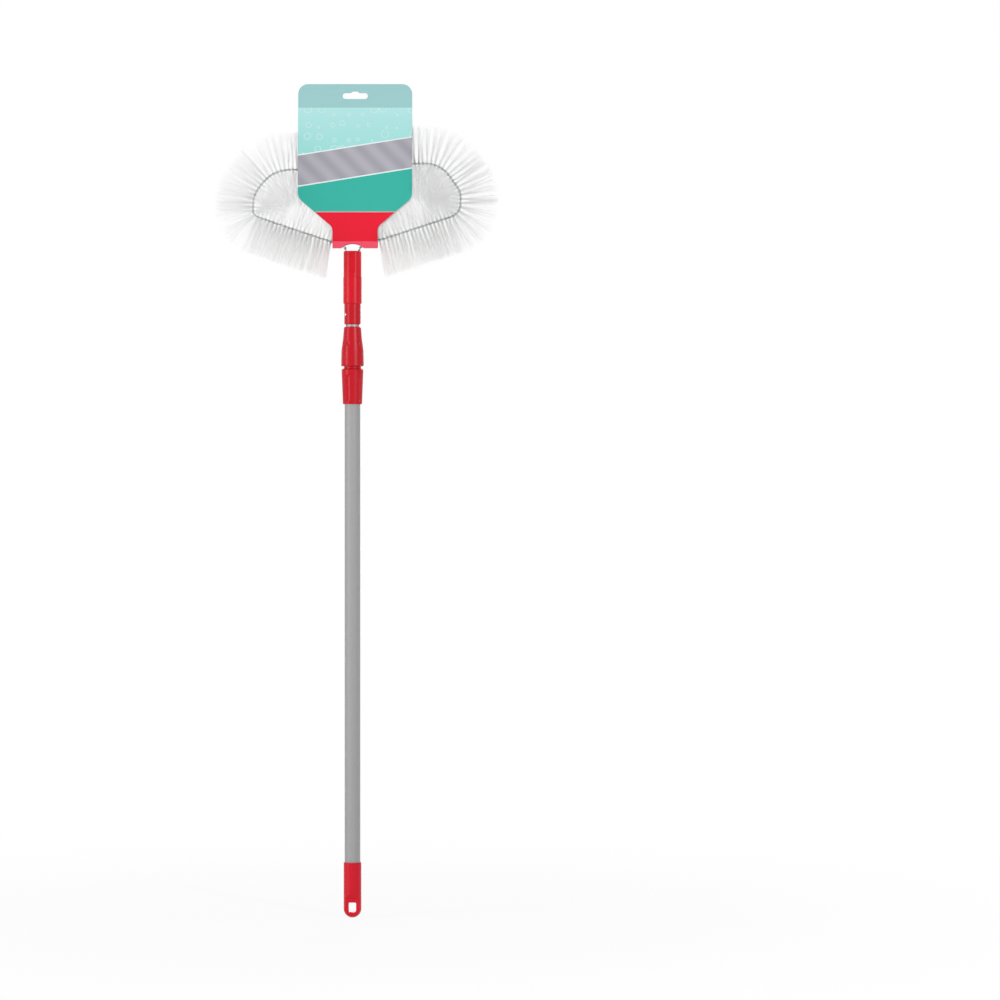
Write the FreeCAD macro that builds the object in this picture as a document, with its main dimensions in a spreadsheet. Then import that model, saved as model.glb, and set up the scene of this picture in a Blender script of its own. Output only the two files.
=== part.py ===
import FreeCAD, Part
import math
import os

import Sketcher
from FreeCAD import Placement, Rotation, Vector

# Cobweb brush: a bristled loop of twisted wire on a telescopic pole with a twist lock.
# The pole stands along +Z, the brush faces -Y, and the origin lies on the pole's axis
# where the bare tube leaves the end cap.

# Driving sizes in millimetres, degrees and counts
SIZES = {
    # clearances
    "running_clearance": 0.1,
    "thread_clearance": 0.3,
    "seat_clearance": 0.3,
    "edge_break": 0.8,
    # tubes
    "outer_tube_diameter": 20.0,
    "outer_tube_wall": 0.6,
    "bare_tube_length": 586.0,
    "inner_tube_diameter": 17.0,
    "inner_tube_wall": 0.5,
    # end cap
    "cap_diameter": 22.6,
    "cap_length": 70.8,
    "cap_seat_depth": 34.0,
    "cap_ring_depth": 36.0,
    "cap_ring_width": 0.7,
    "cap_ring_sink": 0.35,
    "cap_tab_thickness": 13.0,
    "cap_tab_length": 24.0,
    "cap_tab_run_out": 9.0,
    "hang_hole_width": 9.8,
    "hang_hole_height": 12.2,
    "hang_hole_corner": 1.4,
    "hang_hole_rim": 7.4,
    # lower collar of the lock
    "collar_height": 45.5,
    "collar_low_diameter": 24.8,
    "collar_top_diameter": 28.0,
    "collar_seat_depth": 36.0,
    "collar_flute_count": 6,
    "collar_flute_turn": 8.0,
    "collar_flute_radius": 7.2,
    "collar_flute_depth": 0.9,
    "collar_flute_foot": 5.0,
    "collar_flute_length": 34.0,
    "neck_diameter": 21.8,
    "neck_bore_diameter": 17.5,
    "neck_engagement": 24.0,
    "cone_depth": 7.0,
    "cone_floor_diameter": 18.6,
    "cone_mouth_diameter": 20.7,
    # upper collar of the lock
    "lock_gap": 3.0,
    "nut_height": 50.3,
    "nut_low_diameter": 29.0,
    "nut_shoulder_diameter": 28.2,
    "nut_shoulder_height": 20.5,
    "nut_waist_diameter": 24.2,
    "nut_waist_height": 35.0,
    "nut_top_diameter": 21.8,
    "nut_ceiling_height": 29.8,
    "nut_top_clearance": 0.4,
    "nut_scallop_count": 6,
    "nut_scallop_turn": 8.0,
    "nut_scallop_floor": 24.7,
    "nut_scallop_radius": 7.2,
    "nut_scallop_height": 29.0,
    # split ring inside the lock
    "clamp_slit": 1.6,
    "clamp_foot_rise": 1.0,
    # plug and ring at the lower end of the inner tube
    "plug_head_diameter": 12.0,
    "plug_head_height": 3.0,
    "plug_flange_height": 3.0,
    "plug_insert": 18.0,
    "spigot_diameter": 9.0,
    "guide_ring_height": 10.0,
    # threaded tip of the inner tube
    "tip_gap": 3.2,
    "tip_skirt_diameter": 21.0,
    "tip_skirt_height": 26.2,
    "tip_tube_depth": 20.0,
    "tip_bore_diameter": 12.0,
    "screw_diameter": 19.2,
    "screw_root_diameter": 17.4,
    "screw_pitch": 4.0,
    "screw_turns": 6,
    "screw_crest_width": 1.2,
    "screw_groove_width": 0.8,
    "screw_lead_in": 3.0,
    # rivet of the threaded tip
    "rivet_diameter": 2.4,
    "rivet_head_diameter": 4.0,
    "rivet_head_height": 0.9,
    "rivet_crown_diameter": 2.7,
    "rivet_crown_drop": 0.2,
    "rivet_height": 12.4,
    "rivet_turn": 60.0,
    # socket of the brush head
    "socket_height": 67.3,
    "socket_low_diameter": 23.6,
    "socket_top_diameter": 22.8,
    "socket_step_height": 35.0,
    "recess_width": 7.7,
    "recess_depth": 0.9,
    "recess_foot_height": 37.0,
    # wire loop
    "wire_diameter": 3.4,
    "leg_spacing": 17.0,
    "leg_depth": 30.0,
    "neck_rise": 6.0,
    "neck_bend_radius": 8.0,
    "left_reach": 127.2,
    "left_corner_rise": 39.9,
    "left_corner_radius": 9.0,
    "left_side_rise": 27.0,
    "left_side_radius": 42.0,
    "left_crown_reach": 101.3,
    "left_crown_rise": 30.6,
    "left_crown_radius": 42.0,
    "right_reach": 138.5,
    "right_corner_rise": 42.2,
    "right_corner_radius": 18.0,
    "right_side_rise": 28.3,
    "right_side_radius": 24.0,
    "right_crown_reach": 112.0,
    "right_crown_rise": 37.0,
    "right_crown_radius": 38.0,
    # bristles, which the model gathers into thin fans, one for each half turn of the twisted wire
    "bristle_length": 48.0,
    "tuft_spacing": 5.2,
    "tuft_gap": 1.0,
    "tuft_root_gap": 0.3,
    "tuft_clearing": 10.6,
    "fan_angle": 80.0,
    "fan_thickness": 0.4,
    "pressed_root_width": 3.0,
    "pressed_thickness": 1.0,
    "neck_bare_width": 48.0,
    "neck_splay": 17.0,
    "neck_splay_run": 60.0,
    # printed card
    "card_thickness": 0.5,
    "card_width": 146.0,
    "card_height": 210.2,
    "card_corner": 12.8,
    "card_shift": 3.5,
    "card_lift": 3.9,
    "card_header_height": 30.1,
    "card_bulge": 9.0,
    "card_bulge_height": 118.7,
    "card_crease_height": 46.3,
    "card_tail_width": 58.0,
    "card_tail_height": 26.7,
    "card_tail_corner": 10.0,
    "card_shoulder_height": 64.3,
    "card_shoulder_corner": 14.0,
    "card_strip_height": 8.3,
    "card_strip_depth": 6.5,
    "card_fold_rise": 0.9,
    "card_fold_depth": 3.0,
    "stem_hole_radius": 21.5,
    "stem_hole_drop": 15.7,
    "hang_slot_width": 32.0,
    "hang_slot_height": 7.4,
    "hang_slot_hump_width": 11.0,
    "hang_slot_hump_top": 6.0,
    "hang_slot_hump_rise": 2.0,
    "hang_slot_corner": 3.6,
    "hang_slot_hump_corner": 1.4,
    "hang_slot_depth": 19.0,
}

# Radii and levels that follow from the sizes
PLACES = {
    "outer_tube_r": "size.outer_tube_diameter / 2",
    "outer_bore_r": "at.outer_tube_r - size.outer_tube_wall",
    "inner_tube_r": "size.inner_tube_diameter / 2",
    "inner_bore_r": "at.inner_tube_r - size.inner_tube_wall",
    "cap_floor": "-size.cap_seat_depth",
    "cap_foot": "-size.cap_length",
    "cap_dome": "at.cap_foot + size.cap_diameter / 2",
    "collar_base": "size.bare_tube_length",
    "collar_top": "at.collar_base + size.collar_height",
    "collar_low_r": "size.collar_low_diameter / 2",
    "collar_top_r": "size.collar_top_diameter / 2",
    "collar_slope": "(at.collar_top_r - at.collar_low_r) / size.collar_height",
    "tube_stop": "at.collar_base + size.collar_seat_depth",
    "neck_r": "size.neck_diameter / 2",
    "neck_bore_r": "size.neck_bore_diameter / 2",
    "nut_base": "at.collar_top + size.lock_gap",
    "nut_top": "at.nut_base + size.nut_height",
    "nut_ceiling": "at.nut_base + size.nut_ceiling_height",
    "nut_waist_r": "size.nut_waist_diameter / 2",
    "nut_bore_r": "at.neck_r + size.thread_clearance",
    "neck_top": "at.nut_base + size.neck_engagement",
    "cone_floor": "at.neck_top - size.cone_depth",
    "cone_floor_r": "size.cone_floor_diameter / 2",
    "cone_mouth_r": "size.cone_mouth_diameter / 2",
    "cone_slope": "(at.cone_mouth_r - at.cone_floor_r) / size.cone_depth",
    "clamp_bore_r": "at.inner_tube_r + size.running_clearance",
    "clamp_foot": "at.cone_floor + size.clamp_foot_rise",
    "clamp_r": "at.cone_mouth_r - size.running_clearance",
    "clamp_foot_r": "at.clamp_r - (size.cone_depth - size.clamp_foot_rise) * at.cone_slope",
    "clamp_top": "at.nut_ceiling - size.running_clearance",
    "plug_foot": "at.cap_floor + size.seat_clearance",
    "plug_head_top": "at.plug_foot + size.plug_head_height",
    "guide_low": "at.plug_head_top + size.running_clearance",
    "guide_top": "at.guide_low + size.guide_ring_height",
    "guide_r": "at.outer_bore_r - size.running_clearance",
    "flange_low": "at.guide_top + size.running_clearance",
    "inner_tube_low": "at.flange_low + size.plug_flange_height",
    "plug_top": "at.inner_tube_low + size.plug_insert",
    "tip_base": "at.nut_top + size.tip_gap",
    "skirt_top": "at.tip_base + size.tip_skirt_height",
    "inner_tube_top": "at.tip_base + size.tip_tube_depth",
    "screw_base": "at.skirt_top + size.screw_lead_in",
    "screw_top": "at.screw_base + size.screw_turns * size.screw_pitch + size.edge_break",
    "screw_r": "size.screw_diameter / 2",
    "screw_root_r": "size.screw_root_diameter / 2",
    "rivet_level": "at.tip_base + size.rivet_height",
    "socket_base": "at.skirt_top + size.running_clearance",
    "socket_top": "at.socket_base + size.socket_height",
    "socket_step": "at.socket_base + size.socket_step_height",
    "socket_bore_r": "at.screw_r + size.thread_clearance",
    "socket_bore_top": "at.screw_top + size.seat_clearance",
    "socket_low_r": "size.socket_low_diameter / 2",
    "socket_top_r": "size.socket_top_diameter / 2",
    "wire_r": "size.wire_diameter / 2",
    "leg_foot": "at.socket_top - size.leg_depth",
    "neck_bend": "at.socket_top + size.neck_rise",
    "left_corner": "at.neck_bend + size.left_corner_rise",
    "left_side": "at.left_corner + size.left_side_rise",
    "left_crown": "at.left_side + size.left_crown_rise",
    "right_corner": "at.neck_bend + size.right_corner_rise",
    "right_side": "at.right_corner + size.right_side_rise",
    "right_crown": "at.right_side + size.right_crown_rise",
    "card_fold": "at.socket_top + size.card_lift",
    "card_top": "at.card_fold + size.card_height",
    "card_header_line": "at.card_top - size.card_header_height",
    "card_bulge_line": "at.card_fold + size.card_bulge_height",
    "card_crease_line": "at.card_fold + size.card_crease_height",
    "card_strip_line": "at.card_fold + size.card_strip_height",
    "card_fold_line": "at.card_fold + size.card_fold_rise",
    "card_tail_line": "at.card_fold + size.card_tail_height",
    "card_shoulder_line": "at.card_fold + size.card_shoulder_height",
    "card_left": "size.card_shift - size.card_width / 2",
    "card_right": "size.card_shift + size.card_width / 2",
    "card_tail_left": "size.card_shift - size.card_tail_width / 2",
    "card_tail_right": "size.card_shift + size.card_tail_width / 2",
    "hang_slot_level": "at.card_top - size.hang_slot_depth",
}

UPRIGHT_FRONT = Rotation(Vector(1, 0, 0), 90)
UPRIGHT_SIDE = Rotation(Vector(1, 1, 1), 120)
FACING = Vector(0, -1, 0)

doc = FreeCAD.newDocument("cobweb_brush")

size = doc.addObject("Spreadsheet::Sheet", "size")
for row, (alias, number) in enumerate(SIZES.items(), start=1):
    size.set(f"A{row}", alias.replace("_", " "))
    size.set(f"B{row}", str(number))
    size.setAlias(f"B{row}", alias)

at = doc.addObject("App::VarSet", "at")
for word, text in PLACES.items():
    at.addProperty("App::PropertyFloat", word)
    at.setExpression(word, text)
doc.recompute()


def bind(feature, **texts):
    """Bind properties of a feature to expressions."""
    for name, text in texts.items():
        feature.setExpression(name, text)


def place(feature, x="0", y="0", z="0", turn=None):
    """Put a primitive of the Part kind at expressions, turned if a rotation is given."""
    if turn is not None:
        feature.Placement = Placement(Vector(), turn)
    for axis, text in zip("xyz", (x, y, z)):
        feature.setExpression(f".Placement.Base.{axis}", text)


def origin_of(body, role):
    """Find a plane or an axis of a body's origin."""
    return next(item for item in body.Origin.OriginFeatures if item.Role == role)


def draw_corners(sketch, corners):
    """Draw a closed outline whose corners are bound to expressions."""
    count = len(corners)
    turns = [2 * math.pi * step / count for step in range(count)]
    start = [Vector(math.cos(turn), math.sin(turn), 0) for turn in turns]
    for step in range(count):
        sketch.addGeometry(Part.LineSegment(start[step], start[(step + 1) % count]), False)
    for step in range(count):
        sketch.addConstraint(Sketcher.Constraint("Coincident", step, 2, (step + 1) % count, 1))
    for step, corner in enumerate(corners):
        for kind, rough, text in zip(("DistanceX", "DistanceY"), start[step], corner):
            index = sketch.addConstraint(Sketcher.Constraint(kind, step, 1, rough))
            sketch.setExpression(f"Constraints[{index}]", text)


def turned(name, corners):
    """Make a body turned about the pole's axis from corners of radius and level."""
    body = doc.addObject("PartDesign::Body", name)
    sketch = body.newObject("Sketcher::SketchObject", f"{name}_profile")
    sketch.AttachmentSupport = [(origin_of(body, "XZ_Plane"), "")]
    sketch.MapMode = "FlatFace"
    draw_corners(sketch, corners)
    solid = body.newObject("PartDesign::Revolution", f"{name}_turned")
    solid.Profile = sketch
    solid.ReferenceAxis = (sketch, ["V_Axis"])
    solid.Angle = 360
    doc.recompute()
    return body


def cylinder(name, radius, height, z, turn=None):
    """Make a cylinder on the pole's axis."""
    feature = doc.addObject("Part::Cylinder", name)
    bind(feature, Radius=radius, Height=height)
    place(feature, z=z, turn=turn)
    return feature


def combined(kind, name, base, tool):
    """Combine two objects by a boolean."""
    feature = doc.addObject(f"Part::{kind}", name)
    feature.Base = base
    feature.Tool = tool
    return feature


def around(name, kind, count, reach, level, start=0, lean=Rotation(), **texts):
    """Make copies of a primitive round the pole's axis, at a reach from it and a level."""
    copies = []
    for step in range(int(count)):
        turn = Rotation(Vector(0, 0, 1), start + 360 * step / count)
        spoke = turn.multVec(Vector(1, 0, 0))
        copy = doc.addObject(f"Part::{kind}", f"{name}_{step + 1}")
        bind(copy, **texts)
        place(copy, f"({reach}) * {spoke.x:.9f}", f"({reach}) * {spoke.y:.9f}", level, turn * lean)
        copies.append(copy)
    return copies


def cut_away(name, base, tools):
    """Take several tools away from an object."""
    tool = doc.addObject("Part::MultiFuse", f"{name}_tools")
    tool.Shapes = tools
    return combined("Cut", name, base, tool)


def slab(name, corners, length):
    """Make a prism across the brush from corners of depth and level."""
    sketch = doc.addObject("Sketcher::SketchObject", f"{name}_outline")
    sketch.Placement = Placement(Vector(), UPRIGHT_SIDE)
    draw_corners(sketch, corners)
    solid = doc.addObject("Part::Extrusion", name)
    solid.Base = sketch
    solid.DirMode = "Normal"
    solid.Symmetric = True
    solid.Solid = True
    bind(solid, LengthFwd=length)
    return solid


def rounded_edges(points, radii, closed):
    """Join points by straight runs and tangent arcs.

    Each arc keeps to its share of the shorter run beside it.
    """
    share = 0.48
    count = len(points)
    trims = {}
    for step in range(count):
        if radii[step] == 0:
            continue
        before = points[step - 1] - points[step]
        after = points[(step + 1) % count] - points[step]
        half = (math.pi - before.getAngle(after)) / 2
        reach = min(radii[step] * math.tan(half), share * min(before.Length, after.Length))
        start = points[step] + Vector(before).normalize() * reach
        end = points[step] + Vector(after).normalize() * reach
        middle = Vector(before).normalize() + Vector(after).normalize()
        depth = reach * math.tan(half / 2)
        trims[step] = (start, points[step] + middle.normalize() * depth, end)
    edges = []
    for step in range(count if closed else count - 1):
        ahead = (step + 1) % count
        low = trims[step][2] if step in trims else points[step]
        high = trims[ahead][0] if ahead in trims else points[ahead]
        edges.append(Part.LineSegment(low, high).toShape())
        if ahead in trims:
            edges.append(Part.Arc(*trims[ahead]).toShape())
    return edges


def rounded_plate(name, points, radii, depth):
    """Make a plate with rounded corners that faces the front, centred on the brush's plane."""
    feature = doc.addObject("Part::Feature", name)
    outline = [Vector(x, depth / 2, z) for x, z in points]
    face = Part.Face(Part.Wire(rounded_edges(outline, radii, closed=True)))
    feature.Shape = face.extrude(FACING * depth)
    return feature


def outer_tube():
    """The grip tube, from the floor of the end cap to the stop in the lower collar."""
    length = "at.tube_stop - at.cap_floor"
    outside = cylinder("outer_tube_outside", "at.outer_tube_r", length, "at.cap_floor")
    bore = cylinder("outer_tube_bore", "at.outer_bore_r", length, "at.cap_floor")
    return combined("Cut", "outer_tube", outside, bore)


def end_cap():
    """The domed cap, flattened at the front and back round its hanging hole."""
    radius = "size.cap_diameter / 2"
    sleeve = cylinder("cap_sleeve", radius, "-at.cap_dome", "at.cap_dome")
    dome = doc.addObject("Part::Sphere", "cap_end")
    bind(dome, Radius=radius)
    place(dome, z="at.cap_dome")
    tab = "size.cap_tab_thickness / 2"
    wide = "size.cap_diameter / 2 + size.edge_break"
    tab_top = "at.cap_foot + size.cap_tab_length"
    side = [
        (wide, "size.edge_break"),
        (wide, f"{tab_top} + size.cap_tab_run_out"),
        (tab, tab_top),
        (tab, "at.cap_foot - size.edge_break"),
    ]
    mirrored = [(f"-({depth})", level) for depth, level in reversed(side)]
    sides = slab("end_cap_sides", side + mirrored, "size.cap_diameter * 2")
    blank = combined("Common", "end_cap_blank", combined("Fuse", "end_cap_round", sleeve, dome), sides)
    half = size.hang_hole_width / 2
    low = at.cap_foot + size.hang_hole_rim
    high = low + size.hang_hole_height
    corners = [(-half, low), (half, low), (half, high), (-half, high)]
    hole = rounded_plate("hang_hole", corners, [size.hang_hole_corner] * 4, 2 * size.cap_diameter)
    bore = cylinder("cap_bore", "at.outer_tube_r", "size.cap_seat_depth", "at.cap_floor")
    floor = f"{radius} - size.cap_ring_sink"
    low_edge = "-size.cap_ring_depth - size.cap_ring_width / 2"
    high_edge = "-size.cap_ring_depth + size.cap_ring_width / 2"
    ring = turned("cap_ring", [(floor, low_edge), (wide, low_edge), (wide, high_edge), (floor, high_edge)])
    return cut_away("end_cap", blank, [hole, bore, ring])


def lock_base():
    """The lower collar with its broad flutes, its threaded neck and the cone for the clamp ring."""
    whole = turned(
        "lock_base_whole",
        [
            ("at.outer_tube_r", "at.collar_base"),
            ("at.collar_low_r - size.edge_break", "at.collar_base"),
            ("at.collar_low_r", "at.collar_base + size.edge_break"),
            ("at.collar_top_r", "at.collar_top - 2 * size.edge_break"),
            ("at.collar_top_r - 2 * size.edge_break", "at.collar_top"),
            ("at.neck_r", "at.collar_top"),
            ("at.neck_r", "at.neck_top"),
            ("at.cone_mouth_r", "at.neck_top"),
            ("at.cone_floor_r", "at.cone_floor"),
            ("at.neck_bore_r", "at.cone_floor"),
            ("at.neck_bore_r", "at.tube_stop"),
            ("at.outer_tube_r", "at.tube_stop"),
        ],
    )
    lean = Rotation(Vector(0, 1, 0), math.degrees(math.atan(at.collar_slope)))
    foot = "size.collar_flute_foot"
    top = "size.collar_flute_length"
    axis = "at.collar_low_r + size.collar_flute_radius - size.collar_flute_depth"
    count, start = size.collar_flute_count, size.collar_flute_turn
    radius = "size.collar_flute_radius"
    run = f"({top} - {foot}) * sqrt(1 + at.collar_slope ^ 2)"
    flutes = around(
        "collar_flute",
        "Cylinder",
        count,
        f"{axis} + {foot} * at.collar_slope",
        f"at.collar_base + {foot}",
        start,
        lean,
        Radius=radius,
        Height=run,
    )
    for name, end in (("collar_flute_foot", foot), ("collar_flute_end", top)):
        reach = f"{axis} + {end} * at.collar_slope"
        flutes += around(name, "Sphere", count, reach, f"at.collar_base + {end}", start, Radius=radius)
    return cut_away("lock_base", whole, flutes)


def twist_nut():
    """The upper collar, scalloped on its taper, which screws on the neck of the lower one."""
    whole = turned(
        "twist_nut_whole",
        [
            ("at.nut_bore_r", "at.nut_base"),
            ("size.nut_low_diameter / 2 - size.edge_break", "at.nut_base"),
            ("size.nut_low_diameter / 2", "at.nut_base + size.edge_break"),
            ("size.nut_shoulder_diameter / 2", "at.nut_base + size.nut_shoulder_height"),
            ("at.nut_waist_r", "at.nut_base + size.nut_waist_height"),
            ("size.nut_top_diameter / 2", "at.nut_top - size.edge_break"),
            ("size.nut_top_diameter / 2 - size.edge_break", "at.nut_top"),
            ("at.inner_tube_r + size.nut_top_clearance", "at.nut_top"),
            ("at.inner_tube_r + size.nut_top_clearance", "at.nut_ceiling"),
            ("at.nut_bore_r", "at.nut_ceiling"),
        ],
    )
    reach = "size.nut_scallop_floor / 2 + size.nut_scallop_radius"
    foot = "at.nut_base + size.nut_scallop_height"
    radius = "size.nut_scallop_radius"
    count, start = size.nut_scallop_count, size.nut_scallop_turn
    height = f"at.nut_top - ({foot})"
    scallops = around("nut_scallop", "Cylinder", count, reach, foot, start, Radius=radius, Height=height)
    scallops += around("nut_scallop_foot", "Sphere", count, reach, foot, start, Radius=radius)
    return cut_away("twist_nut", whole, scallops)


def clamp_ring():
    """The split cone that the nut presses down on the inner tube."""
    whole = turned(
        "clamp_ring_whole",
        [
            ("at.clamp_bore_r", "at.clamp_foot"),
            ("at.clamp_foot_r", "at.clamp_foot"),
            ("at.clamp_r", "at.neck_top"),
            ("at.clamp_r", "at.clamp_top"),
            ("at.clamp_bore_r", "at.clamp_top"),
        ],
    )
    slit = doc.addObject("Part::Box", "clamp_slit")
    bind(slit, Length="size.clamp_slit", Width="at.clamp_r * 2", Height="at.clamp_top - at.clamp_foot")
    place(slit, x="-size.clamp_slit / 2", z="at.clamp_foot")
    return combined("Cut", "clamp_ring", whole, slit)


def rivet_hole():
    """The hole for the rivet, from the middle of the tube outwards."""
    reach = "size.tip_skirt_diameter"
    return cylinder("rivet_hole", "size.rivet_diameter / 2", reach, "at.rivet_level", rivet_direction())


def rivet_direction():
    """Turn the pole's axis to the rivet's axis, which points to the left and a little forwards."""
    turn = math.radians(size.rivet_turn)
    return Rotation(Vector(0, 0, 1), Vector(-math.sin(turn), -math.cos(turn), 0))


def inner_tube(hole):
    """The tube that slides out, pierced for the rivet."""
    length = "at.inner_tube_top - at.inner_tube_low"
    outside = cylinder("inner_tube_outside", "at.inner_tube_r", length, "at.inner_tube_low")
    bore = cylinder("inner_tube_bore", "at.inner_bore_r", length, "at.inner_tube_low")
    return combined("Cut", "inner_tube", combined("Cut", "inner_tube_plain", outside, bore), hole)


def inner_plug():
    """The plug in the lower end of the inner tube, with the spigot and head that hold the guide ring."""
    return turned(
        "inner_plug",
        [
            ("0", "at.plug_foot"),
            ("size.plug_head_diameter / 2 - size.edge_break", "at.plug_foot"),
            ("size.plug_head_diameter / 2", "at.plug_foot + size.edge_break"),
            ("size.plug_head_diameter / 2", "at.plug_head_top"),
            ("size.spigot_diameter / 2", "at.plug_head_top"),
            ("size.spigot_diameter / 2", "at.flange_low"),
            ("at.inner_tube_r", "at.flange_low"),
            ("at.inner_tube_r", "at.inner_tube_low"),
            ("at.inner_bore_r", "at.inner_tube_low"),
            ("at.inner_bore_r", "at.plug_top - size.edge_break"),
            ("at.inner_bore_r - size.edge_break", "at.plug_top"),
            ("0", "at.plug_top"),
        ],
    )


def guide_ring():
    """The ring that runs in the outer tube and turns on the plug's spigot."""
    bore = "size.spigot_diameter / 2 + size.running_clearance"
    return turned(
        "guide_ring",
        [
            (bore, "at.guide_low"),
            ("at.guide_r - size.edge_break", "at.guide_low"),
            ("at.guide_r", "at.guide_low + size.edge_break"),
            ("at.guide_r", "at.guide_top - size.edge_break"),
            ("at.guide_r - size.edge_break", "at.guide_top"),
            (bore, "at.guide_top"),
        ],
    )


def threaded_tip(hole):
    """The sleeve on the inner tube with the screw for the brush head, drawn as rings."""
    skirt = "size.tip_skirt_diameter / 2"
    corners = [
        ("at.inner_tube_r", "at.tip_base"),
        (f"{skirt} - size.edge_break", "at.tip_base"),
        (skirt, "at.tip_base + size.edge_break"),
        (skirt, "at.skirt_top"),
        ("at.screw_root_r", "at.skirt_top"),
    ]
    ring = [
        ("at.screw_root_r", "size.screw_groove_width / 2"),
        ("at.screw_r", "(size.screw_pitch - size.screw_crest_width) / 2"),
        ("at.screw_r", "(size.screw_pitch + size.screw_crest_width) / 2"),
        ("at.screw_root_r", "size.screw_pitch - size.screw_groove_width / 2"),
    ]
    for turn in range(int(size.screw_turns)):
        low = f"at.screw_base + {turn} * size.screw_pitch"
        corners += [(radius, f"{low} + {rise}") for radius, rise in ring]
    corners += [
        ("at.screw_root_r", "at.screw_top - size.edge_break / 2"),
        ("at.screw_root_r - size.edge_break / 2", "at.screw_top"),
        ("size.tip_bore_diameter / 2", "at.screw_top"),
        ("size.tip_bore_diameter / 2", "at.inner_tube_top"),
        ("at.inner_tube_r", "at.inner_tube_top"),
    ]
    return combined("Cut", "threaded_tip", turned("threaded_tip_whole", corners), hole)


def tip_rivet():
    """The round rivet that holds the threaded tip on the inner tube."""
    seat = "size.tip_skirt_diameter / 2"
    crown = f"{seat} + size.rivet_head_height"
    body = turned(
        "tip_rivet",
        [
            ("0", "at.inner_bore_r"),
            ("size.rivet_diameter / 2", "at.inner_bore_r"),
            ("size.rivet_diameter / 2", seat),
            ("size.rivet_head_diameter / 2", seat),
            ("size.rivet_crown_diameter / 2", f"{crown} - size.rivet_crown_drop"),
            ("0", crown),
        ],
    )
    place(body, z="at.rivet_level", turn=rivet_direction())
    return body


def brush_socket():
    """The head's socket: a bore for the screw, two holes for the wire and a recess at front and back."""
    whole = turned(
        "brush_socket_whole",
        [
            ("at.socket_bore_r", "at.socket_base"),
            ("at.socket_low_r - size.edge_break", "at.socket_base"),
            ("at.socket_low_r", "at.socket_base + size.edge_break"),
            ("at.socket_low_r", "at.socket_step - size.edge_break"),
            ("at.socket_top_r", "at.socket_step"),
            ("at.socket_top_r", "at.socket_top - size.edge_break"),
            ("at.socket_top_r - size.edge_break", "at.socket_top"),
            ("0", "at.socket_top"),
            ("0", "at.socket_bore_top"),
            ("at.socket_bore_r", "at.socket_bore_top"),
        ],
    )
    across = "size.socket_low_diameter * 2"
    foot = "at.socket_base + size.recess_foot_height + size.recess_width / 2"
    panel = doc.addObject("Part::Box", "recess_panel")
    rise = f"at.socket_top + size.edge_break - ({foot})"
    bind(panel, Length="size.recess_width", Width=across, Height=rise)
    place(panel, "-size.recess_width / 2", "-size.socket_low_diameter", foot)
    arch = doc.addObject("Part::Cylinder", "recess_arch")
    bind(arch, Radius="size.recess_width / 2", Height=across)
    place(arch, y="size.socket_low_diameter", z=foot, turn=UPRIGHT_FRONT)
    core = doc.addObject("Part::Box", "recess_core")
    depth = "(at.socket_top_r - size.recess_depth) * 2"
    bind(core, Length=across, Width=depth, Height="size.socket_height * 2")
    place(core, "-size.socket_low_diameter", "size.recess_depth - at.socket_top_r", "at.socket_base")
    recess = combined("Cut", "recess", combined("Fuse", "recess_outline", panel, arch), core)
    legs = around(
        "leg_hole",
        "Cylinder",
        2,
        "size.leg_spacing / 2",
        "at.leg_foot",
        Radius="at.wire_r",
        Height="size.leg_depth + size.edge_break",
    )
    return cut_away("brush_socket", whole, [recess, *legs])


def loop_edges():
    """The wire's route from the left leg round the loop to the right leg."""
    leg = size.leg_spacing / 2
    points = [
        (-leg, at.leg_foot),
        (-leg, at.neck_bend),
        (-size.left_reach, at.left_corner),
        (-size.left_reach, at.left_side),
        (-size.left_crown_reach, at.left_crown),
        (size.right_crown_reach, at.right_crown),
        (size.right_reach, at.right_side),
        (size.right_reach, at.right_corner),
        (leg, at.neck_bend),
        (leg, at.leg_foot),
    ]
    radii = [
        0,
        size.neck_bend_radius,
        size.left_corner_radius,
        size.left_side_radius,
        size.left_crown_radius,
        size.right_crown_radius,
        size.right_side_radius,
        size.right_corner_radius,
        size.neck_bend_radius,
        0,
    ]
    return rounded_edges([Vector(x, 0, z) for x, z in points], radii, closed=False)


def wire_core(edges):
    """The loop of twisted wire, as a rod of the twist's outer diameter."""
    route = doc.addObject("Part::Feature", "wire_route")
    route.Shape = Part.Wire(edges)
    section = doc.addObject("Part::Circle", "wire_section")
    bind(section, Radius="at.wire_r")
    place(section, x="-size.leg_spacing / 2", z="at.leg_foot")
    rod = doc.addObject("Part::Sweep", "wire_core")
    rod.Sections = [section]
    rod.Spine = (route, [f"Edge{number}" for number in range(1, len(edges) + 1)])
    rod.Solid = True
    return rod


class Station:
    """A place on the wire where tufts stand, with the wire's direction and its outward side."""

    def __init__(self, edge, run):
        self.point = edge.valueAt(edge.getParameterByLength(run))
        self.along = edge.tangentAt(edge.getParameterByLength(run))
        self.outward = FACING.cross(self.along)


def wire_stations(edges):
    """Space the stations evenly along the loop, outside the bare neck."""
    total = sum(edge.Length for edge in edges)
    count = int(total / size.tuft_spacing)
    start = (total - (count - 1) * size.tuft_spacing) / 2
    wanted = [start + step * size.tuft_spacing for step in range(count)]
    stations = []
    passed = 0.0
    for edge in edges:
        inside = [run for run in wanted if passed <= run < passed + edge.Length]
        stations += [Station(edge, run - passed) for run in inside]
        passed += edge.Length
    bare = size.neck_bare_width / 2
    return [item for item in stations if abs(item.point.x) > bare or item.point.z > at.card_crease_line]


def root_distance(station, heading, half_width):
    """How far along a heading a tuft starts, so that its root clears the wire."""
    lean = math.asin(abs(heading.dot(station.along)))
    clear = at.wire_r + size.tuft_root_gap + half_width * math.sin(lean)
    return clear / math.cos(lean)


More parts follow.
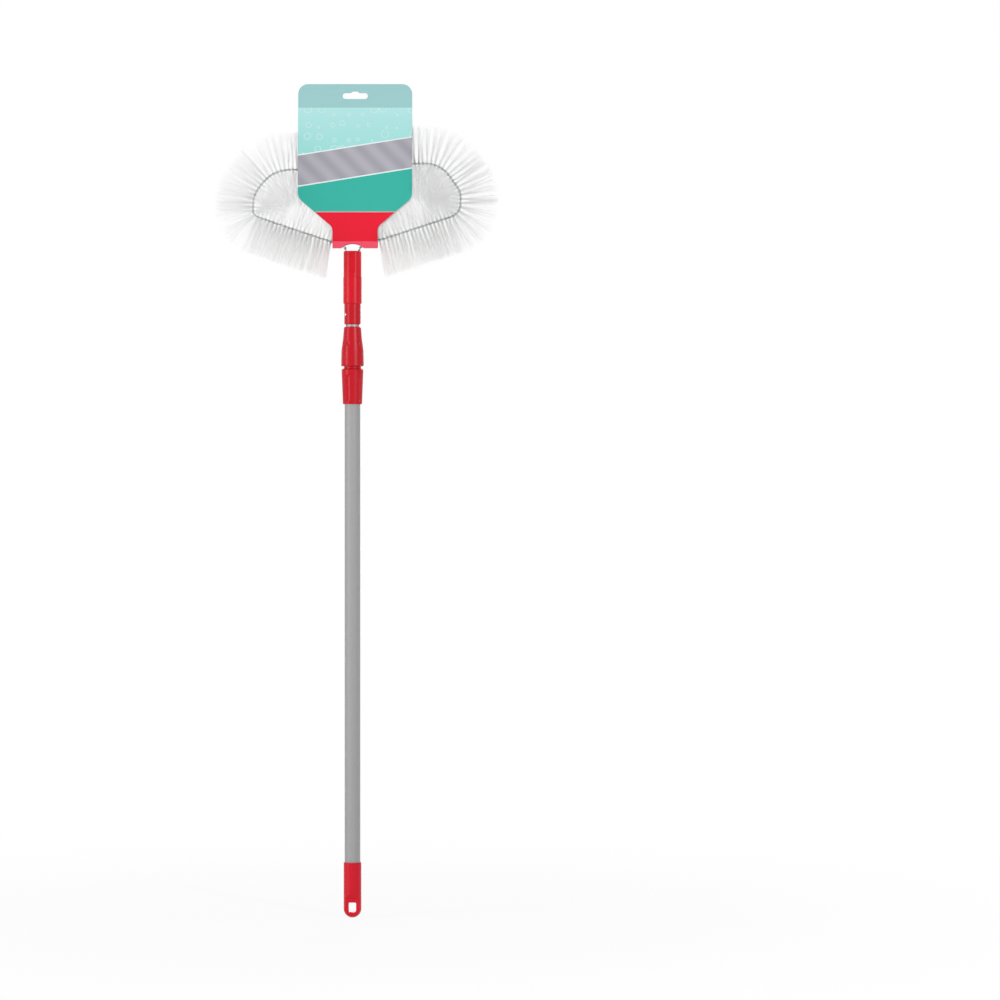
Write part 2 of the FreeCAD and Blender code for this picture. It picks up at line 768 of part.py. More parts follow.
def pressed_tuft(station, heading, length, behind, ahead):
    """One flat tuft in the loop's plane, from its root to its tip, which spreads behind and ahead."""
    side = station.along.cross(heading).normalize()
    across = heading.cross(side).normalize()
    half_root = across * (size.pressed_root_width / 2)
    root = station.point + heading * root_distance(station, heading, half_root.Length)
    tip = station.point + heading * length
    shift = side * (size.pressed_thickness / 2)
    ring = [root - half_root, root + half_root, tip + across * ahead, tip - across * behind]
    face = Part.Face(Part.makePolygon([corner - shift for corner in ring + ring[:1]]))
    return face.extrude(shift * 2)


def fan(station, middle, side, angles, length, room):
    """One fan of filaments across the wire, whose angles turn from its middle towards a side.

    It leans along the wire as the twist advances over its angle.
    """
    thickness = min(size.fan_thickness, room)
    half = math.radians(size.fan_angle / 2)
    root = root_distance(station, middle, thickness / 2) / math.cos(half)
    advance = size.tuft_spacing * half / math.pi
    leaning = side + middle.cross(side) * (advance / (size.bristle_length * math.sin(half)))
    low, high = angles
    spokes = []
    for angle in (low, (low + high) / 2, high):
        turn = math.radians(angle)
        spokes.append(middle * math.cos(turn) + leaning * math.sin(turn))
    shift = middle.cross(leaning).normalize() * (thickness / 2)
    start = station.point - shift
    tips = [start + spoke * length for spoke in spokes]
    roots = [start + spokes[0] * root, start + spokes[2] * root]
    edges = [
        Part.LineSegment(roots[0], tips[0]),
        Part.Arc(*tips),
        Part.LineSegment(tips[2], roots[1]),
        Part.LineSegment(roots[1], roots[0]),
    ]
    face = Part.Face(Part.Wire([edge.toShape() for edge in edges]))
    return face.extrude(shift * 2)


def half_rooms(tips, widest):
    """The share of the room that each tip has behind and ahead of it, up to a width."""
    filled = 1 - size.tuft_gap / size.tuft_spacing
    halves = [min((far - near).Length, widest) / 2 * filled for near, far in zip(tips, tips[1:])]
    return list(zip([halves[0], *halves], [*halves, halves[-1]]))


def plane_row(stations, headings, lengths, widest):
    """A row of tufts about the loop's plane: fans across the wire, and flat tufts in the card."""
    tips = [item.point + way * length for item, way, length in zip(stations, headings, lengths)]
    rooms = half_rooms(tips, widest)
    half = size.fan_angle / 2
    row = []
    for station, heading, length, tip, room in zip(stations, headings, lengths, tips, rooms):
        if pressed(station, tip):
            row.append(pressed_tuft(station, heading, length, *room))
        else:
            row.append(fan(station, heading, FACING, (-half, half), length, 2 * min(room)))
    return row


def facing_row(stations, facing, rivals):
    """A row of fans that stand forwards or backwards and reach into the loop as far as there is room."""
    half = size.fan_angle / 2
    lean = math.sin(math.radians(half))
    length = size.bristle_length
    shares = [min(lean, inner_reach(item, rivals) / length) for item in stations]
    tips = [item.point - item.outward * (share * length) for item, share in zip(stations, shares)]
    rooms = half_rooms(tips, size.tuft_spacing)
    row = []
    for station, share, room in zip(stations, shares, rooms):
        angles = (-math.degrees(math.asin(share)), half)
        row.append(fan(station, facing, station.outward, angles, length, 2 * min(room)))
    return row


def at_neck(station):
    """Tell whether a station lies on a lower run within the card's tail."""
    margin = size.tuft_spacing / 2
    low = station.point.z < at.card_crease_line
    return low and at.card_tail_left - margin < station.point.x < at.card_tail_right + margin


def behind_card(station):
    """Tell whether a station lies between the card's two panels."""
    margin = size.tuft_spacing / 2
    high = station.point.z > at.card_crease_line
    return high and at.card_left - margin < station.point.x < at.card_right + margin


def pressed(station, tip):
    """Tell whether the card presses a tuft flat, at its root or at its tip."""
    margin = size.tuft_spacing / 2
    beside = at.card_left - margin < tip.x < at.card_right + margin
    return behind_card(station) or (beside and tip.z > at.card_fold)


def inner_reach(station, rivals):
    """How far filaments reach into the loop before they meet those of the wire across it."""
    inward = station.outward * -1
    radii = []
    for rival in rivals:
        gap = rival - station.point
        rise = gap.dot(inward)
        if rise > at.wire_r:
            radii.append(gap.dot(gap) / (2 * rise))
    room = min(radii)
    return min(size.bristle_length, max(room - size.tuft_clearing, room / 2))


def splayed(station):
    """The outward direction, leaning towards the neck on the stretch beside it."""
    beside = abs(station.point.x) - size.neck_bare_width / 2
    if station.point.z > at.card_crease_line or beside > size.neck_splay_run:
        return station.outward
    lean = size.neck_splay * (1 - beside / size.neck_splay_run)
    return Rotation(FACING, math.copysign(lean, -station.point.x)).multVec(station.outward)


def bristle_group(name, tufts):
    """Gather tufts in one object."""
    feature = doc.addObject("Part::Feature", name)
    feature.Shape = Part.makeCompound(tufts)
    return feature


def bristles(edges):
    """The four sides of the bristle: outwards, inwards, forwards and backwards."""
    stations = wire_stations(edges)
    rivals = [point for edge in edges for point in edge.discretize(2 + int(edge.Length / size.tuft_gap))]
    free = [item for item in stations if not at_neck(item)]
    whole = [size.bristle_length] * len(free)
    outer = plane_row(free, [splayed(item) for item in free], whole, size.bristle_length)
    reaches = [inner_reach(item, rivals) for item in stations]
    inner = plane_row(stations, [item.outward * -1 for item in stations], reaches, size.tuft_spacing)
    front, back = [], []
    for flank in (-1, 1):
        bare = [item for item in free if not behind_card(item) and item.point.x * flank > 0]
        front += facing_row(bare, FACING, rivals)
        back += facing_row(bare, FACING * -1, rivals)
    return [
        bristle_group("outer_bristles", outer),
        bristle_group("inner_bristles", inner),
        bristle_group("front_bristles", front),
        bristle_group("back_bristles", back),
    ]


def card_sides(inset):
    """The corners of the card's front and back panels in its side view, from the header to the fold."""
    half = [
        (f"size.card_thickness - {inset}", "at.card_header_line"),
        (f"size.card_bulge - {inset}", "at.card_bulge_line"),
        (f"size.card_bulge - {inset}", "at.card_crease_line"),
        (f"size.card_strip_depth - {inset}", "at.card_strip_line"),
        (f"size.card_fold_depth - {inset}", f"at.card_fold_line + {inset}"),
    ]
    mirrored = [(f"-({depth})", level) for depth, level in reversed(half)]
    return half, mirrored


def header_card():
    """The printed card: one sheet folded round the neck, glued at its header, with a hanging slot."""
    thick = "size.card_thickness"
    front, back = card_sides("0")
    top_edge = [(f"-{thick}", "at.card_top"), (thick, "at.card_top")]
    outside = slab("card_outside", top_edge + front + [("0", "at.card_fold")] + back, "size.card_width * 2")
    front, back = card_sides(thick)
    fold = [("0", f"at.card_fold + 2 * {thick}")]
    glue_line = [("0", "at.card_header_line")]
    inside = slab("card_inside", front[1:] + fold + back[:-1] + glue_line, "size.card_width * 3")
    sleeve = combined("Cut", "card_sleeve", outside, inside)
    corners = [
        (at.card_tail_left, at.card_fold - size.card_lift),
        (at.card_tail_right, at.card_fold - size.card_lift),
        (at.card_tail_right, at.card_tail_line),
        (at.card_right, at.card_shoulder_line),
        (at.card_right, at.card_top),
        (at.card_left, at.card_top),
        (at.card_left, at.card_shoulder_line),
        (at.card_tail_left, at.card_tail_line),
    ]
    tail, shoulder, top = size.card_tail_corner, size.card_shoulder_corner, size.card_corner
    radii = [0, 0, tail, shoulder, top, top, shoulder, tail]
    outline = rounded_plate("card_outline", corners, radii, 4 * size.card_bulge)
    cut_out = combined("Common", "card_cut_out", sleeve, outline)
    stem = doc.addObject("Part::Cylinder", "stem_hole")
    bind(stem, Radius="size.stem_hole_radius", Height="size.card_bulge * 4")
    place(stem, y="size.card_bulge * 2", z="at.card_fold - size.stem_hole_drop", turn=UPRIGHT_FRONT)
    pierced = combined("Cut", "card_pierced", cut_out, stem)
    return combined("Cut", "header_card", pierced, hang_slot())


def hang_slot():
    """The cutter for the card's hanging slot, which has a hump in the middle of its upper edge."""
    wide = size.hang_slot_width / 2
    hump = size.hang_slot_hump_width / 2
    crest = size.hang_slot_hump_top / 2
    low = at.hang_slot_level
    high = low + size.hang_slot_height
    peak = high + size.hang_slot_hump_rise
    right = [(wide, low), (wide, high), (hump, high), (crest, peak)]
    left = [(-x, z) for x, z in reversed(right)]
    corners = [(x + size.card_shift, z) for x, z in right + left]
    end, small = size.hang_slot_corner, size.hang_slot_hump_corner
    radii = [end, end, small, small]
    return rounded_plate("hang_slot", corners, radii + radii[::-1], 4 * size.card_bulge)


def build():
    """Make every sub-part, with its node's name as its label."""
    hole = rivet_hole()
    edges = loop_edges()
    parts = [
        outer_tube(),
        end_cap(),
        lock_base(),
        twist_nut(),
        clamp_ring(),
        inner_tube(hole),
        inner_plug(),
        guide_ring(),
        threaded_tip(hole),
        tip_rivet(),
        brush_socket(),
        wire_core(edges),
        *bristles(edges),
        header_card(),
    ]
    doc.recompute()
    for part in parts:
        part.Label = part.Name
    return parts


def check(parts):
    """Stop if an object failed or a sub-part has no sound shape."""
    for item in doc.Objects:
        if {"Invalid", "Error"} & set(item.State):
            raise RuntimeError(f"{item.Label} is {item.State}")
    for part in parts:
        if part.Shape.isNull() or not part.Shape.isValid():
            raise RuntimeError(f"{part.Label} has no sound shape")


def export(parts):
    """Write each sub-part to its own file."""
    os.makedirs("parts", exist_ok=True)
    for part in parts:
        part.Shape.exportStep(f"parts/{part.Label}.step")
        box = part.Shape.BoundBox
        print(
            f"{part.Label}: {len(part.Shape.Solids)} solids, {part.Shape.Volume:.1f} mm3,"
            f" x {box.XMin:.1f} to {box.XMax:.1f}, y {box.YMin:.1f} to {box.YMax:.1f},"
            f" z {box.ZMin:.1f} to {box.ZMax:.1f}"
        )


sub_parts = build()
check(sub_parts)
export(sub_parts)
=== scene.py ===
"""Looks of a cobweb brush: bristle, twisted wire, printed card, moulded plastic and steel tubes.

Everything is in metres, in the frame of the solids: the pole stands along +Z, the brush faces -Y and the
origin lies on the pole's axis where the bare tube leaves the end cap.
"""

from __future__ import annotations

import logging
import math
from dataclasses import dataclass, field
from enum import Enum

import bpy
import numpy as np
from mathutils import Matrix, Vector, geometry

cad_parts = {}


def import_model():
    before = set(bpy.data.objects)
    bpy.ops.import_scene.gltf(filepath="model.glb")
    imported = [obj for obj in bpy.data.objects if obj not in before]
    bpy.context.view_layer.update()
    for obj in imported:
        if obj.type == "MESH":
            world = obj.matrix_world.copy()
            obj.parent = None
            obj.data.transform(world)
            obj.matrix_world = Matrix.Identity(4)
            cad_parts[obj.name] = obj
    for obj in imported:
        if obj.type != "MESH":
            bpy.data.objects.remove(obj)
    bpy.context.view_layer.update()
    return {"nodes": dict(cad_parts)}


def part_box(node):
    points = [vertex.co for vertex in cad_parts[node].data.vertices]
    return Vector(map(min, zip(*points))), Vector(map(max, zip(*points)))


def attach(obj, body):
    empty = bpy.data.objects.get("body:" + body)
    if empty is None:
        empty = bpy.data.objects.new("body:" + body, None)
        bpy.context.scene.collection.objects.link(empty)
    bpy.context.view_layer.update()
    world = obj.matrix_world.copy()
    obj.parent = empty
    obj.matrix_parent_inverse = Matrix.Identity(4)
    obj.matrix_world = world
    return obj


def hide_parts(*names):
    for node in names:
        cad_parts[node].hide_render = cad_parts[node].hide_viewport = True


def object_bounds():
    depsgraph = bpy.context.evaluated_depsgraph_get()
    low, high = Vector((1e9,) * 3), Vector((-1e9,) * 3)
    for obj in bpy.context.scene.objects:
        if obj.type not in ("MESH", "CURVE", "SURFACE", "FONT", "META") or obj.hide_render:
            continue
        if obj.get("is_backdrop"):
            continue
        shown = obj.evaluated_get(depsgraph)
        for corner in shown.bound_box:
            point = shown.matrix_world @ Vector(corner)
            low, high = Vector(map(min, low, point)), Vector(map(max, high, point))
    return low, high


LOG = logging.getLogger("cobweb_brush")
MM = 0.001
FACING = np.array((0.0, -1.0, 0.0))
# Radians between two points of an arc, and the fewest points that an arc has.
ARC_STEP = 0.12
ARC_POINTS = 5
Tree = bpy.types.NodeTree
Socket = bpy.types.NodeSocket


class Body(Enum):
    """The bodies that carry the pieces made here."""

    HANDLE = "handle"
    INNER_POLE = "inner_pole"
    HEAD = "head"


class Side(Enum):
    """The sides of the wire on which filaments stand, in quarter turns from the outside of the loop."""

    OUTER = 0
    FRONT = 1
    INNER = 2
    BACK = 3


def linear(colour: str) -> tuple[float, float, float, float]:
    """Turn an sRGB hex colour into linear light.

    Args:
        colour: Six hex digits after a hash sign.

    Returns:
        Red, green, blue and a full alpha.
    """
    levels = [int(colour[start : start + 2], 16) / 255 for start in (1, 3, 5)]
    light = [level / 12.92 if level <= 0.04045 else ((level + 0.055) / 1.055) ** 2.4 for level in levels]
    return (*light, 1.0)


def per_metre(width_mm: float) -> float:
    """Give a texture's scale for features of a width in millimetres."""
    return 1 / (width_mm * MM)


def node(tree: Tree, kind: str, inputs: dict | None = None, **settings: object) -> bpy.types.Node:
    """Add a shader node with its settings and links.

    Args:
        tree: The node tree that gets the node.
        kind: The node's type.
        inputs: Values, or output sockets to link, by the name or number of the input.
        settings: Properties of the node.

    Returns:
        The new node.
    """
    made = tree.nodes.new(kind)
    for name, value in settings.items():
        setattr(made, name, value)
    for name, value in (inputs or {}).items():
        if isinstance(value, Socket):
            tree.links.new(value, made.inputs[name])
        else:
            made.inputs[name].default_value = value
    return made


@dataclass(frozen=True)
class Finish:
    """A surface, from the material it is made of and the way it was made.

    Attributes:
        name: What the material is and how its surface was made.
        colour: The sRGB colour.
        shade: A second sRGB colour that it drifts to.
        roughness: The middle of its roughness.
        wander: How far the roughness goes to each side of its middle.
        metallic: 1 for bare metal.
        specular: The specular level, 0.5 for a plain dielectric.
    """

    name: str
    colour: str
    shade: str
    roughness: float
    wander: float = 0.06
    metallic: float = 0.0
    specular: float = 0.5

    def material(self) -> bpy.types.Material:
        """Make the material.

        Returns:
            The material with its shader.
        """
        made = bpy.data.materials.new(self.name)
        made.use_nodes = True
        tree = made.node_tree
        tree.nodes.clear()
        sockets = {"Metallic": self.metallic, "Specular IOR Level": self.specular, **self.surface(tree)}
        shader = node(tree, "ShaderNodeBsdfPrincipled", sockets)
        node(tree, "ShaderNodeOutputMaterial", {"Surface": shader.outputs["BSDF"]})
        return made

    def surface(self, tree: Tree) -> dict:
        """Work out what the shader's sockets get.

        Args:
            tree: The material's node tree.

        Returns:
            Values and sockets by the shader's input names.
        """
        raise NotImplementedError

    def varied(self, tree: Tree, tint: Socket, wear: Socket) -> dict:
        """Let the colour drift to its shade and the roughness wander about its middle.

        Args:
            tree: The material's node tree.
            tint: The share of the shade, from 0 to 1.
            wear: What drives the roughness, from 0 to 1.

        Returns:
            Sockets of the colour and the roughness by the shader's input names.
        """
        colours = {0: tint, 6: linear(self.colour), 7: linear(self.shade)}
        low, high = self.roughness - self.wander, self.roughness + self.wander
        reach = {"Value": wear, "To Min": low, "To Max": high}
        return {
            "Base Color": node(tree, "ShaderNodeMix", colours, data_type="RGBA").outputs[2],
            "Roughness": node(tree, "ShaderNodeMapRange", reach).outputs["Result"],
        }

    def mottle(
        self, tree: Tree, width_mm: float, stretch: tuple[float, float, float] = (1, 1, 1)
    ) -> Socket:
        """Lay soft patches over the surface on the object's own coordinates.

        Args:
            tree: The material's node tree.
            width_mm: The width of a patch.
            stretch: How much finer the patches are along each axis.

        Returns:
            A socket from 0 to 1.
        """
        place = node(tree, "ShaderNodeTexCoord").outputs["Object"]
        scaled = node(tree, "ShaderNodeMapping", {"Vector": place, "Scale": stretch})
        octaves = 3.0
        inputs = {"Vector": scaled.outputs["Vector"], "Scale": per_metre(width_mm), "Detail": octaves}
        return node(tree, "ShaderNodeTexNoise", inputs).outputs["Fac"]


@dataclass(frozen=True)
class MouldedPolypropylene(Finish):
    """Pigmented polypropylene from a spark-eroded mould: an even colour, a soft shine and a fine grain.

    Spark grain is finer than a pixel, so it is drawn coarser, to show as a soft unevenness.

    Attributes:
        ior: The plastic's index of refraction.
        patch_mm: The width of the clouds of colour.
        grain_mm: The width of a grain.
        grain_depth_mm: The depth of the grain.
        grain_strength: The share of that depth that bends the light.
        parting_mm: Half the width of the mould's parting line.
        parting_depth_mm: How far the line stands out.
        parting_strength: The share of that height that bends the light.
    """

    ior: float = 1.49
    patch_mm: float = 22.0
    grain_mm: float = 0.7
    grain_depth_mm: float = 0.03
    grain_strength: float = 0.5
    parting_mm: float = 0.22
    parting_depth_mm: float = 0.12
    parting_strength: float = 0.6

    def surface(self, tree: Tree) -> dict:
        """Colour in clouds, roughness in grains and the mould's parting line on both flanks.

        Args:
            tree: The material's node tree.

        Returns:
            Values and sockets by the shader's input names.
        """
        grain = self.mottle(tree, self.grain_mm)
        place = node(tree, "ShaderNodeTexCoord").outputs["Object"]
        depth = node(tree, "ShaderNodeSeparateXYZ", {"Vector": place}).outputs["Y"]
        away = node(tree, "ShaderNodeMath", {0: depth}, operation="ABSOLUTE").outputs["Value"]
        inputs = {"Value": away, "From Max": self.parting_mm * MM, "To Min": 1.0, "To Max": 0.0}
        line = node(tree, "ShaderNodeMapRange", inputs).outputs["Result"]
        inputs = {"Height": grain, "Distance": self.grain_depth_mm * MM, "Strength": self.grain_strength}
        grained = node(tree, "ShaderNodeBump", inputs).outputs["Normal"]
        inputs = {"Height": line, "Distance": self.parting_depth_mm * MM, "Normal": grained}
        inputs["Strength"] = self.parting_strength
        parted = node(tree, "ShaderNodeBump", inputs).outputs["Normal"]
        varied = self.varied(tree, self.mottle(tree, self.patch_mm), grain)
        return {**varied, "IOR": self.ior, "Normal": parted}


@dataclass(frozen=True)
class PowderCoatedSteel(Finish):
    """Steel tube with a grey powder coat: a satin sheen over orange peel, with faint rolling streaks.

    Attributes:
        ior: The coat's index of refraction.
        peel_mm: The width of a dimple, drawn coarser than a real one so that it shows.
        peel_depth_mm: The depth of a dimple.
        peel_strength: The share of that depth that bends the light.
        streak_mm: The width of a streak.
        streak_pace: The pattern's pace along the tube, as a share of its pace across.
    """

    ior: float = 1.5
    peel_mm: float = 1.6
    peel_depth_mm: float = 0.03
    peel_strength: float = 0.35
    streak_mm: float = 3.0
    streak_pace: float = 0.012

    def surface(self, tree: Tree) -> dict:
        """Streaks along the tube tint the coat, and orange peel roughens it.

        Args:
            tree: The material's node tree.

        Returns:
            Values and sockets by the shader's input names.
        """
        streaks = self.mottle(tree, self.streak_mm, (1, 1, self.streak_pace))
        peel = self.mottle(tree, self.peel_mm)
        inputs = {"Height": peel, "Distance": self.peel_depth_mm * MM, "Strength": self.peel_strength}
        pebbled = node(tree, "ShaderNodeBump", inputs).outputs["Normal"]
        return {**self.varied(tree, streaks, peel), "IOR": self.ior, "Normal": pebbled}


@dataclass(frozen=True)
class DrawnSteel(Finish):
    """Steel drawn through a die: fine lengthwise lines that spread its highlights.

    Attributes:
        line_mm: The width of a line, drawn coarser than a real one so that it shows.
        line_pace: The pattern's pace along the tube, as a share of its pace across.
        line_depth_mm: The depth of a line.
        line_strength: The share of that depth that bends the light.
    """

    line_mm: float = 0.5
    line_pace: float = 0.01
    line_depth_mm: float = 0.01
    line_strength: float = 0.4

    def surface(self, tree: Tree) -> dict:
        """Lines along the tube vary the tint, the roughness and the relief.

        Args:
            tree: The material's node tree.

        Returns:
            Values and sockets by the shader's input names.
        """
        lines = self.mottle(tree, self.line_mm, (1, 1, self.line_pace))
        inputs = {"Height": lines, "Distance": self.line_depth_mm * MM, "Strength": self.line_strength}
        scored = node(tree, "ShaderNodeBump", inputs).outputs["Normal"]
        return {**self.varied(tree, lines, lines), "Normal": scored}


@dataclass(frozen=True)
class GalvanisedWire(Finish):
    """Zinc-dipped iron wire: a dull grey metal with small cloudy crystals.

    Attributes:
        crystal_mm: The width of a zinc crystal, drawn coarser than a real one so that it shows.
    """

    crystal_mm: float = 1.4

    def surface(self, tree: Tree) -> dict:
        """Crystals of zinc differ in tint and roughness.

        Args:
            tree: The material's node tree.

        Returns:
            Values and sockets by the shader's input names.
        """
        place = node(tree, "ShaderNodeTexCoord").outputs["Object"]
        inputs = {"Vector": place, "Scale": per_metre(self.crystal_mm)}
        crystals = node(tree, "ShaderNodeTexVoronoi", inputs).outputs["Color"]
        grey = node(tree, "ShaderNodeRGBToBW", {"Color": crystals}).outputs["Val"]
        return self.varied(tree, grey, grey)


@dataclass(frozen=True)
class ExtrudedFilament(Finish):
    """Clear polymer filament, extruded and cut: pale and glossy, milky where many lie together.

    Attributes:
        ior: The polymer's index of refraction.
        streak_mm: The length of a milky stretch.
    """

    ior: float = 1.5
    streak_mm: float = 2.2

    def surface(self, tree: Tree) -> dict:
        """Milky and clear stretches differ in tint and shine."""
        milky = self.mottle(tree, self.streak_mm)
        return {**self.varied(tree, milky, milky), "IOR": self.ior}


@dataclass(frozen=True)
class RawBoard(Finish):
    """Unprinted folding boxboard: a chalky white with short wood fibres.

    Attributes:
        fibre_mm: The width of a fibre, drawn coarser than a real one so that it shows.
        fibre_pace: The pattern's pace across the board, as a share of its pace up.
        fibre_depth_mm: The relief of the fibres.
        tooth: The share of that relief that bends the light.
    """

    fibre_mm: float = 0.9
    fibre_pace: float = 0.4
    fibre_depth_mm: float = 0.04
    tooth: float = 0.4

    def surface(self, tree: Tree) -> dict:
        """Fibres tint the board and give it a tooth.

        Args:
            tree: The material's node tree.

        Returns:
            Values and sockets by the shader's input names.
        """
        fibres = self.mottle(tree, self.fibre_mm, (self.fibre_pace, 1, 1))
        inputs = {"Height": fibres, "Distance": self.fibre_depth_mm * MM, "Strength": self.tooth}
        toothed = node(tree, "ShaderNodeBump", inputs).outputs["Normal"]
        return {**self.varied(tree, fibres, fibres), "Normal": toothed}


@dataclass(frozen=True)
class PrintedBoard(RawBoard):
    """Coated boxboard printed in flat fields: even inks under a thin satin varnish.

    Its colour runs from the foot of the aqua field to its paler shade at the head, painted light where the
    panels slope up to the header. Heights are above the card's bottom fold, and the slanted lines have
    theirs at the card's middle.

    Attributes:
        fold: The height of the card's bottom fold.
        middle: Where the middle of the card stands across the brush.
        slant: What each step to the right adds to a height, which slants the upper fields' lines.
        red_foot_mm: Where the red field starts, above the strip.
        red_top_mm: Where it ends, at a pale line, a painted highlight along the crease.
        crease_shade_mm: Where a dark line starts, painted shade in the crease.
        green_foot_mm: Where the green field starts.
        green_top_mm: Where it ends, at a pale line.
        grey_foot_mm: Where the grey field starts.
        grey_top_mm: Where it ends, at another pale line.
        aqua_foot_mm: Where the aqua field starts.
        header_foot_mm: Where the header starts.
        painted_light_mm: The heights between which the aqua field pales, painted light where the panels
            slope up to the header.
        bubble_mm: The spacing of the rings in the aqua field.
        bubble_scatter: How far the rings stand off an even grid.
        bubble_chance: The random values that give the smallest and the largest ring.
        bubble_radius: The radii of these rings, as shares of the spacing.
        bubble_line: Half the width of a ring's line, as a share of the spacing.
        bubble_ink: How strongly the rings are printed.
        stripe_mm: The spacing of the stripes in the grey field.
        stripe_ink: How strongly the stripes are printed.
    """

    fold: float = 0.0
    middle: float = 0.0
    slant: float = -0.16
    red_foot_mm: float = 8.3
    red_top_mm: float = 45.6
    crease_shade_mm: float = 46.0
    green_foot_mm: float = 46.8
    green_top_mm: float = 89.5
    grey_foot_mm: float = 91.1
    grey_top_mm: float = 129.3
    aqua_foot_mm: float = 130.9
    header_foot_mm: float = 180.1
    painted_light_mm: tuple[float, float] = (120.0, 180.0)
    bubble_mm: float = 17.0
    bubble_scatter: float = 0.55
    bubble_chance: tuple[float, float] = (0.2, 0.8)
    bubble_radius: tuple[float, float] = (0.06, 0.28)
    bubble_line: float = 0.028
    bubble_ink: float = 0.55
    stripe_mm: float = 21.0
    stripe_ink: float = 0.34
    # The strip's lighter red is painted light: the strip at the fold faces down towards the pale floor.
    strip: str = "#FE5871"
    red: str = "#EC1E36"
    # The crease colour is painted shade in the card's crease.
    crease: str = "#8E9C92"
    green: str = "#3BB4A4"
    rule: str = "#E9F6F4"
    grey: str = "#B4B2BB"
    dark_grey: str = "#7D7A87"
    header: str = "#9FCDCE"

    def surface(self, tree: Tree) -> dict:
        """Fields of ink by height, stripes in the slanted grey field and rings in the aqua one.

        Args:
            tree: The material's node tree.

        Returns:
            Values and sockets by the shader's input names.
        """
        place = node(tree, "ShaderNodeTexCoord").outputs["Object"]
        split = node(tree, "ShaderNodeSeparateXYZ", {"Vector": place}).outputs
        starts = {"Z": self.fold, "X": self.middle}
        rise, across = (
            node(tree, "ShaderNodeMath", {0: split[axis], 1: start}, operation="SUBTRACT").outputs[0]
            for axis, start in starts.items()
        )
        inputs = {0: across, 1: self.slant, 2: rise}
        slanted = node(tree, "ShaderNodeMath", inputs, operation="MULTIPLY_ADD").outputs[0]
        flat = node(tree, "ShaderNodeCombineXYZ", {"X": across, "Y": rise}).outputs["Vector"]
        aqua = self.bubbles(tree, flat, rise)
        striped = self.stripes(tree, flat)
        # Below the red field lies the strip's lighter red, painted light.
        colour = linear(self.strip)
        fields = [
            (rise, self.red_foot_mm, linear(self.red)),
            # At the crease, a pale line and a dark line are a painted highlight and painted shade of the
            # fold.
            (rise, self.red_top_mm, linear(self.rule)),
            (rise, self.crease_shade_mm, linear(self.crease)),
            (rise, self.green_foot_mm, linear(self.green)),
            (slanted, self.green_top_mm, linear(self.rule)),
            (slanted, self.grey_foot_mm, striped),
            (slanted, self.grey_top_mm, linear(self.rule)),
            (slanted, self.aqua_foot_mm, aqua),
            (rise, self.header_foot_mm, linear(self.header)),
        ]
        for height, level_mm, ink in fields:
            above = node(tree, "ShaderNodeMath", {0: height, 1: level_mm * MM}, operation="GREATER_THAN")
            inputs = {0: above.outputs[0], 6: colour, 7: ink}
            colour = node(tree, "ShaderNodeMix", inputs, data_type="RGBA").outputs[2]
        return {**super().surface(tree), "Base Color": colour}

    def stripes(self, tree: Tree, flat: Socket) -> Socket:
        """Draw soft slanting stripes for the grey field.

        Args:
            tree: The material's node tree.
            flat: Places on the card.

        Returns:
            The colour socket.
        """
        # At scale 1 a diagonal wave turns by 10 radians for each metre of the sum of its coordinates.
        wave_rate = 10
        turns = per_metre(self.stripe_mm * math.sqrt(2)) * 2 * math.pi
        inputs = {"Vector": flat, "Scale": turns / wave_rate}
        waves = node(tree, "ShaderNodeTexWave", inputs, bands_direction="DIAGONAL").outputs["Fac"]
        reach = {"Value": waves, "To Max": self.stripe_ink}
        depth = node(tree, "ShaderNodeMapRange", reach).outputs["Result"]
        inks = {0: depth, 6: linear(self.grey), 7: linear(self.dark_grey)}
        return node(tree, "ShaderNodeMix", inks, data_type="RGBA").outputs[2]

    def bubbles(self, tree: Tree, flat: Socket, rise: Socket) -> Socket:
        """Draw pale rings of several sizes on the aqua field, which pales towards its head as painted
        light.

        Args:
            tree: The material's node tree.
            flat: Places on the card.
            rise: Heights above the card's fold.

        Returns:
            The colour socket.
        """
        foot, head = self.painted_light_mm
        reach = {"Value": rise, "From Min": foot * MM, "From Max": head * MM}
        fade = node(tree, "ShaderNodeMapRange", reach).outputs["Result"]
        inks = {0: fade, 6: linear(self.colour), 7: linear(self.shade)}
        ground = node(tree, "ShaderNodeMix", inks, data_type="RGBA").outputs[2]
        inputs = {"Vector": flat, "Scale": per_metre(self.bubble_mm), "Randomness": self.bubble_scatter}
        cells = node(tree, "ShaderNodeTexVoronoi", inputs, voronoi_dimensions="2D").outputs
        chance = node(tree, "ShaderNodeRGBToBW", {"Color": cells["Color"]}).outputs["Val"]
        ends = ("From Min", "From Max", "To Min", "To Max")
        sizes = {"Value": chance, **dict(zip(ends, self.bubble_chance + self.bubble_radius))}
        radius = node(tree, "ShaderNodeMapRange", sizes).outputs["Result"]
        inputs = {0: cells["Distance"], 1: radius, 2: self.bubble_line}
        ring = node(tree, "ShaderNodeMath", inputs, operation="COMPARE").outputs[0]
        share = node(tree, "ShaderNodeMath", {0: ring, 1: self.bubble_ink}, operation="MULTIPLY").outputs[0]
        inks = {0: share, 6: ground, 7: linear(self.rule)}
        return node(tree, "ShaderNodeMix", inks, data_type="RGBA").outputs[2]


def mesh_piece(
    name: str, points: np.ndarray, faces: list, materials: list[bpy.types.Material], sharp_deg: float
) -> bpy.types.Object:
    """Make a smooth object from points and faces.

    Args:
        name: The piece's name.
        points: Corner positions in the brush's frame.
        faces: Corner numbers of each face.
        materials: The materials of its slots.
        sharp_deg: The angle above which an edge stays sharp.

    Returns:
        The object, in the scene.
    """
    mesh = bpy.data.meshes.new(name)
    mesh.from_pydata(points, [], faces)
    for material in materials:
        mesh.materials.append(material)
    mesh.shade_smooth()
    mesh.set_sharp_from_angle(angle=math.radians(sharp_deg))
    mesh.update()
    piece = bpy.data.objects.new(name, mesh)
    bpy.context.scene.collection.objects.link(piece)
    return piece


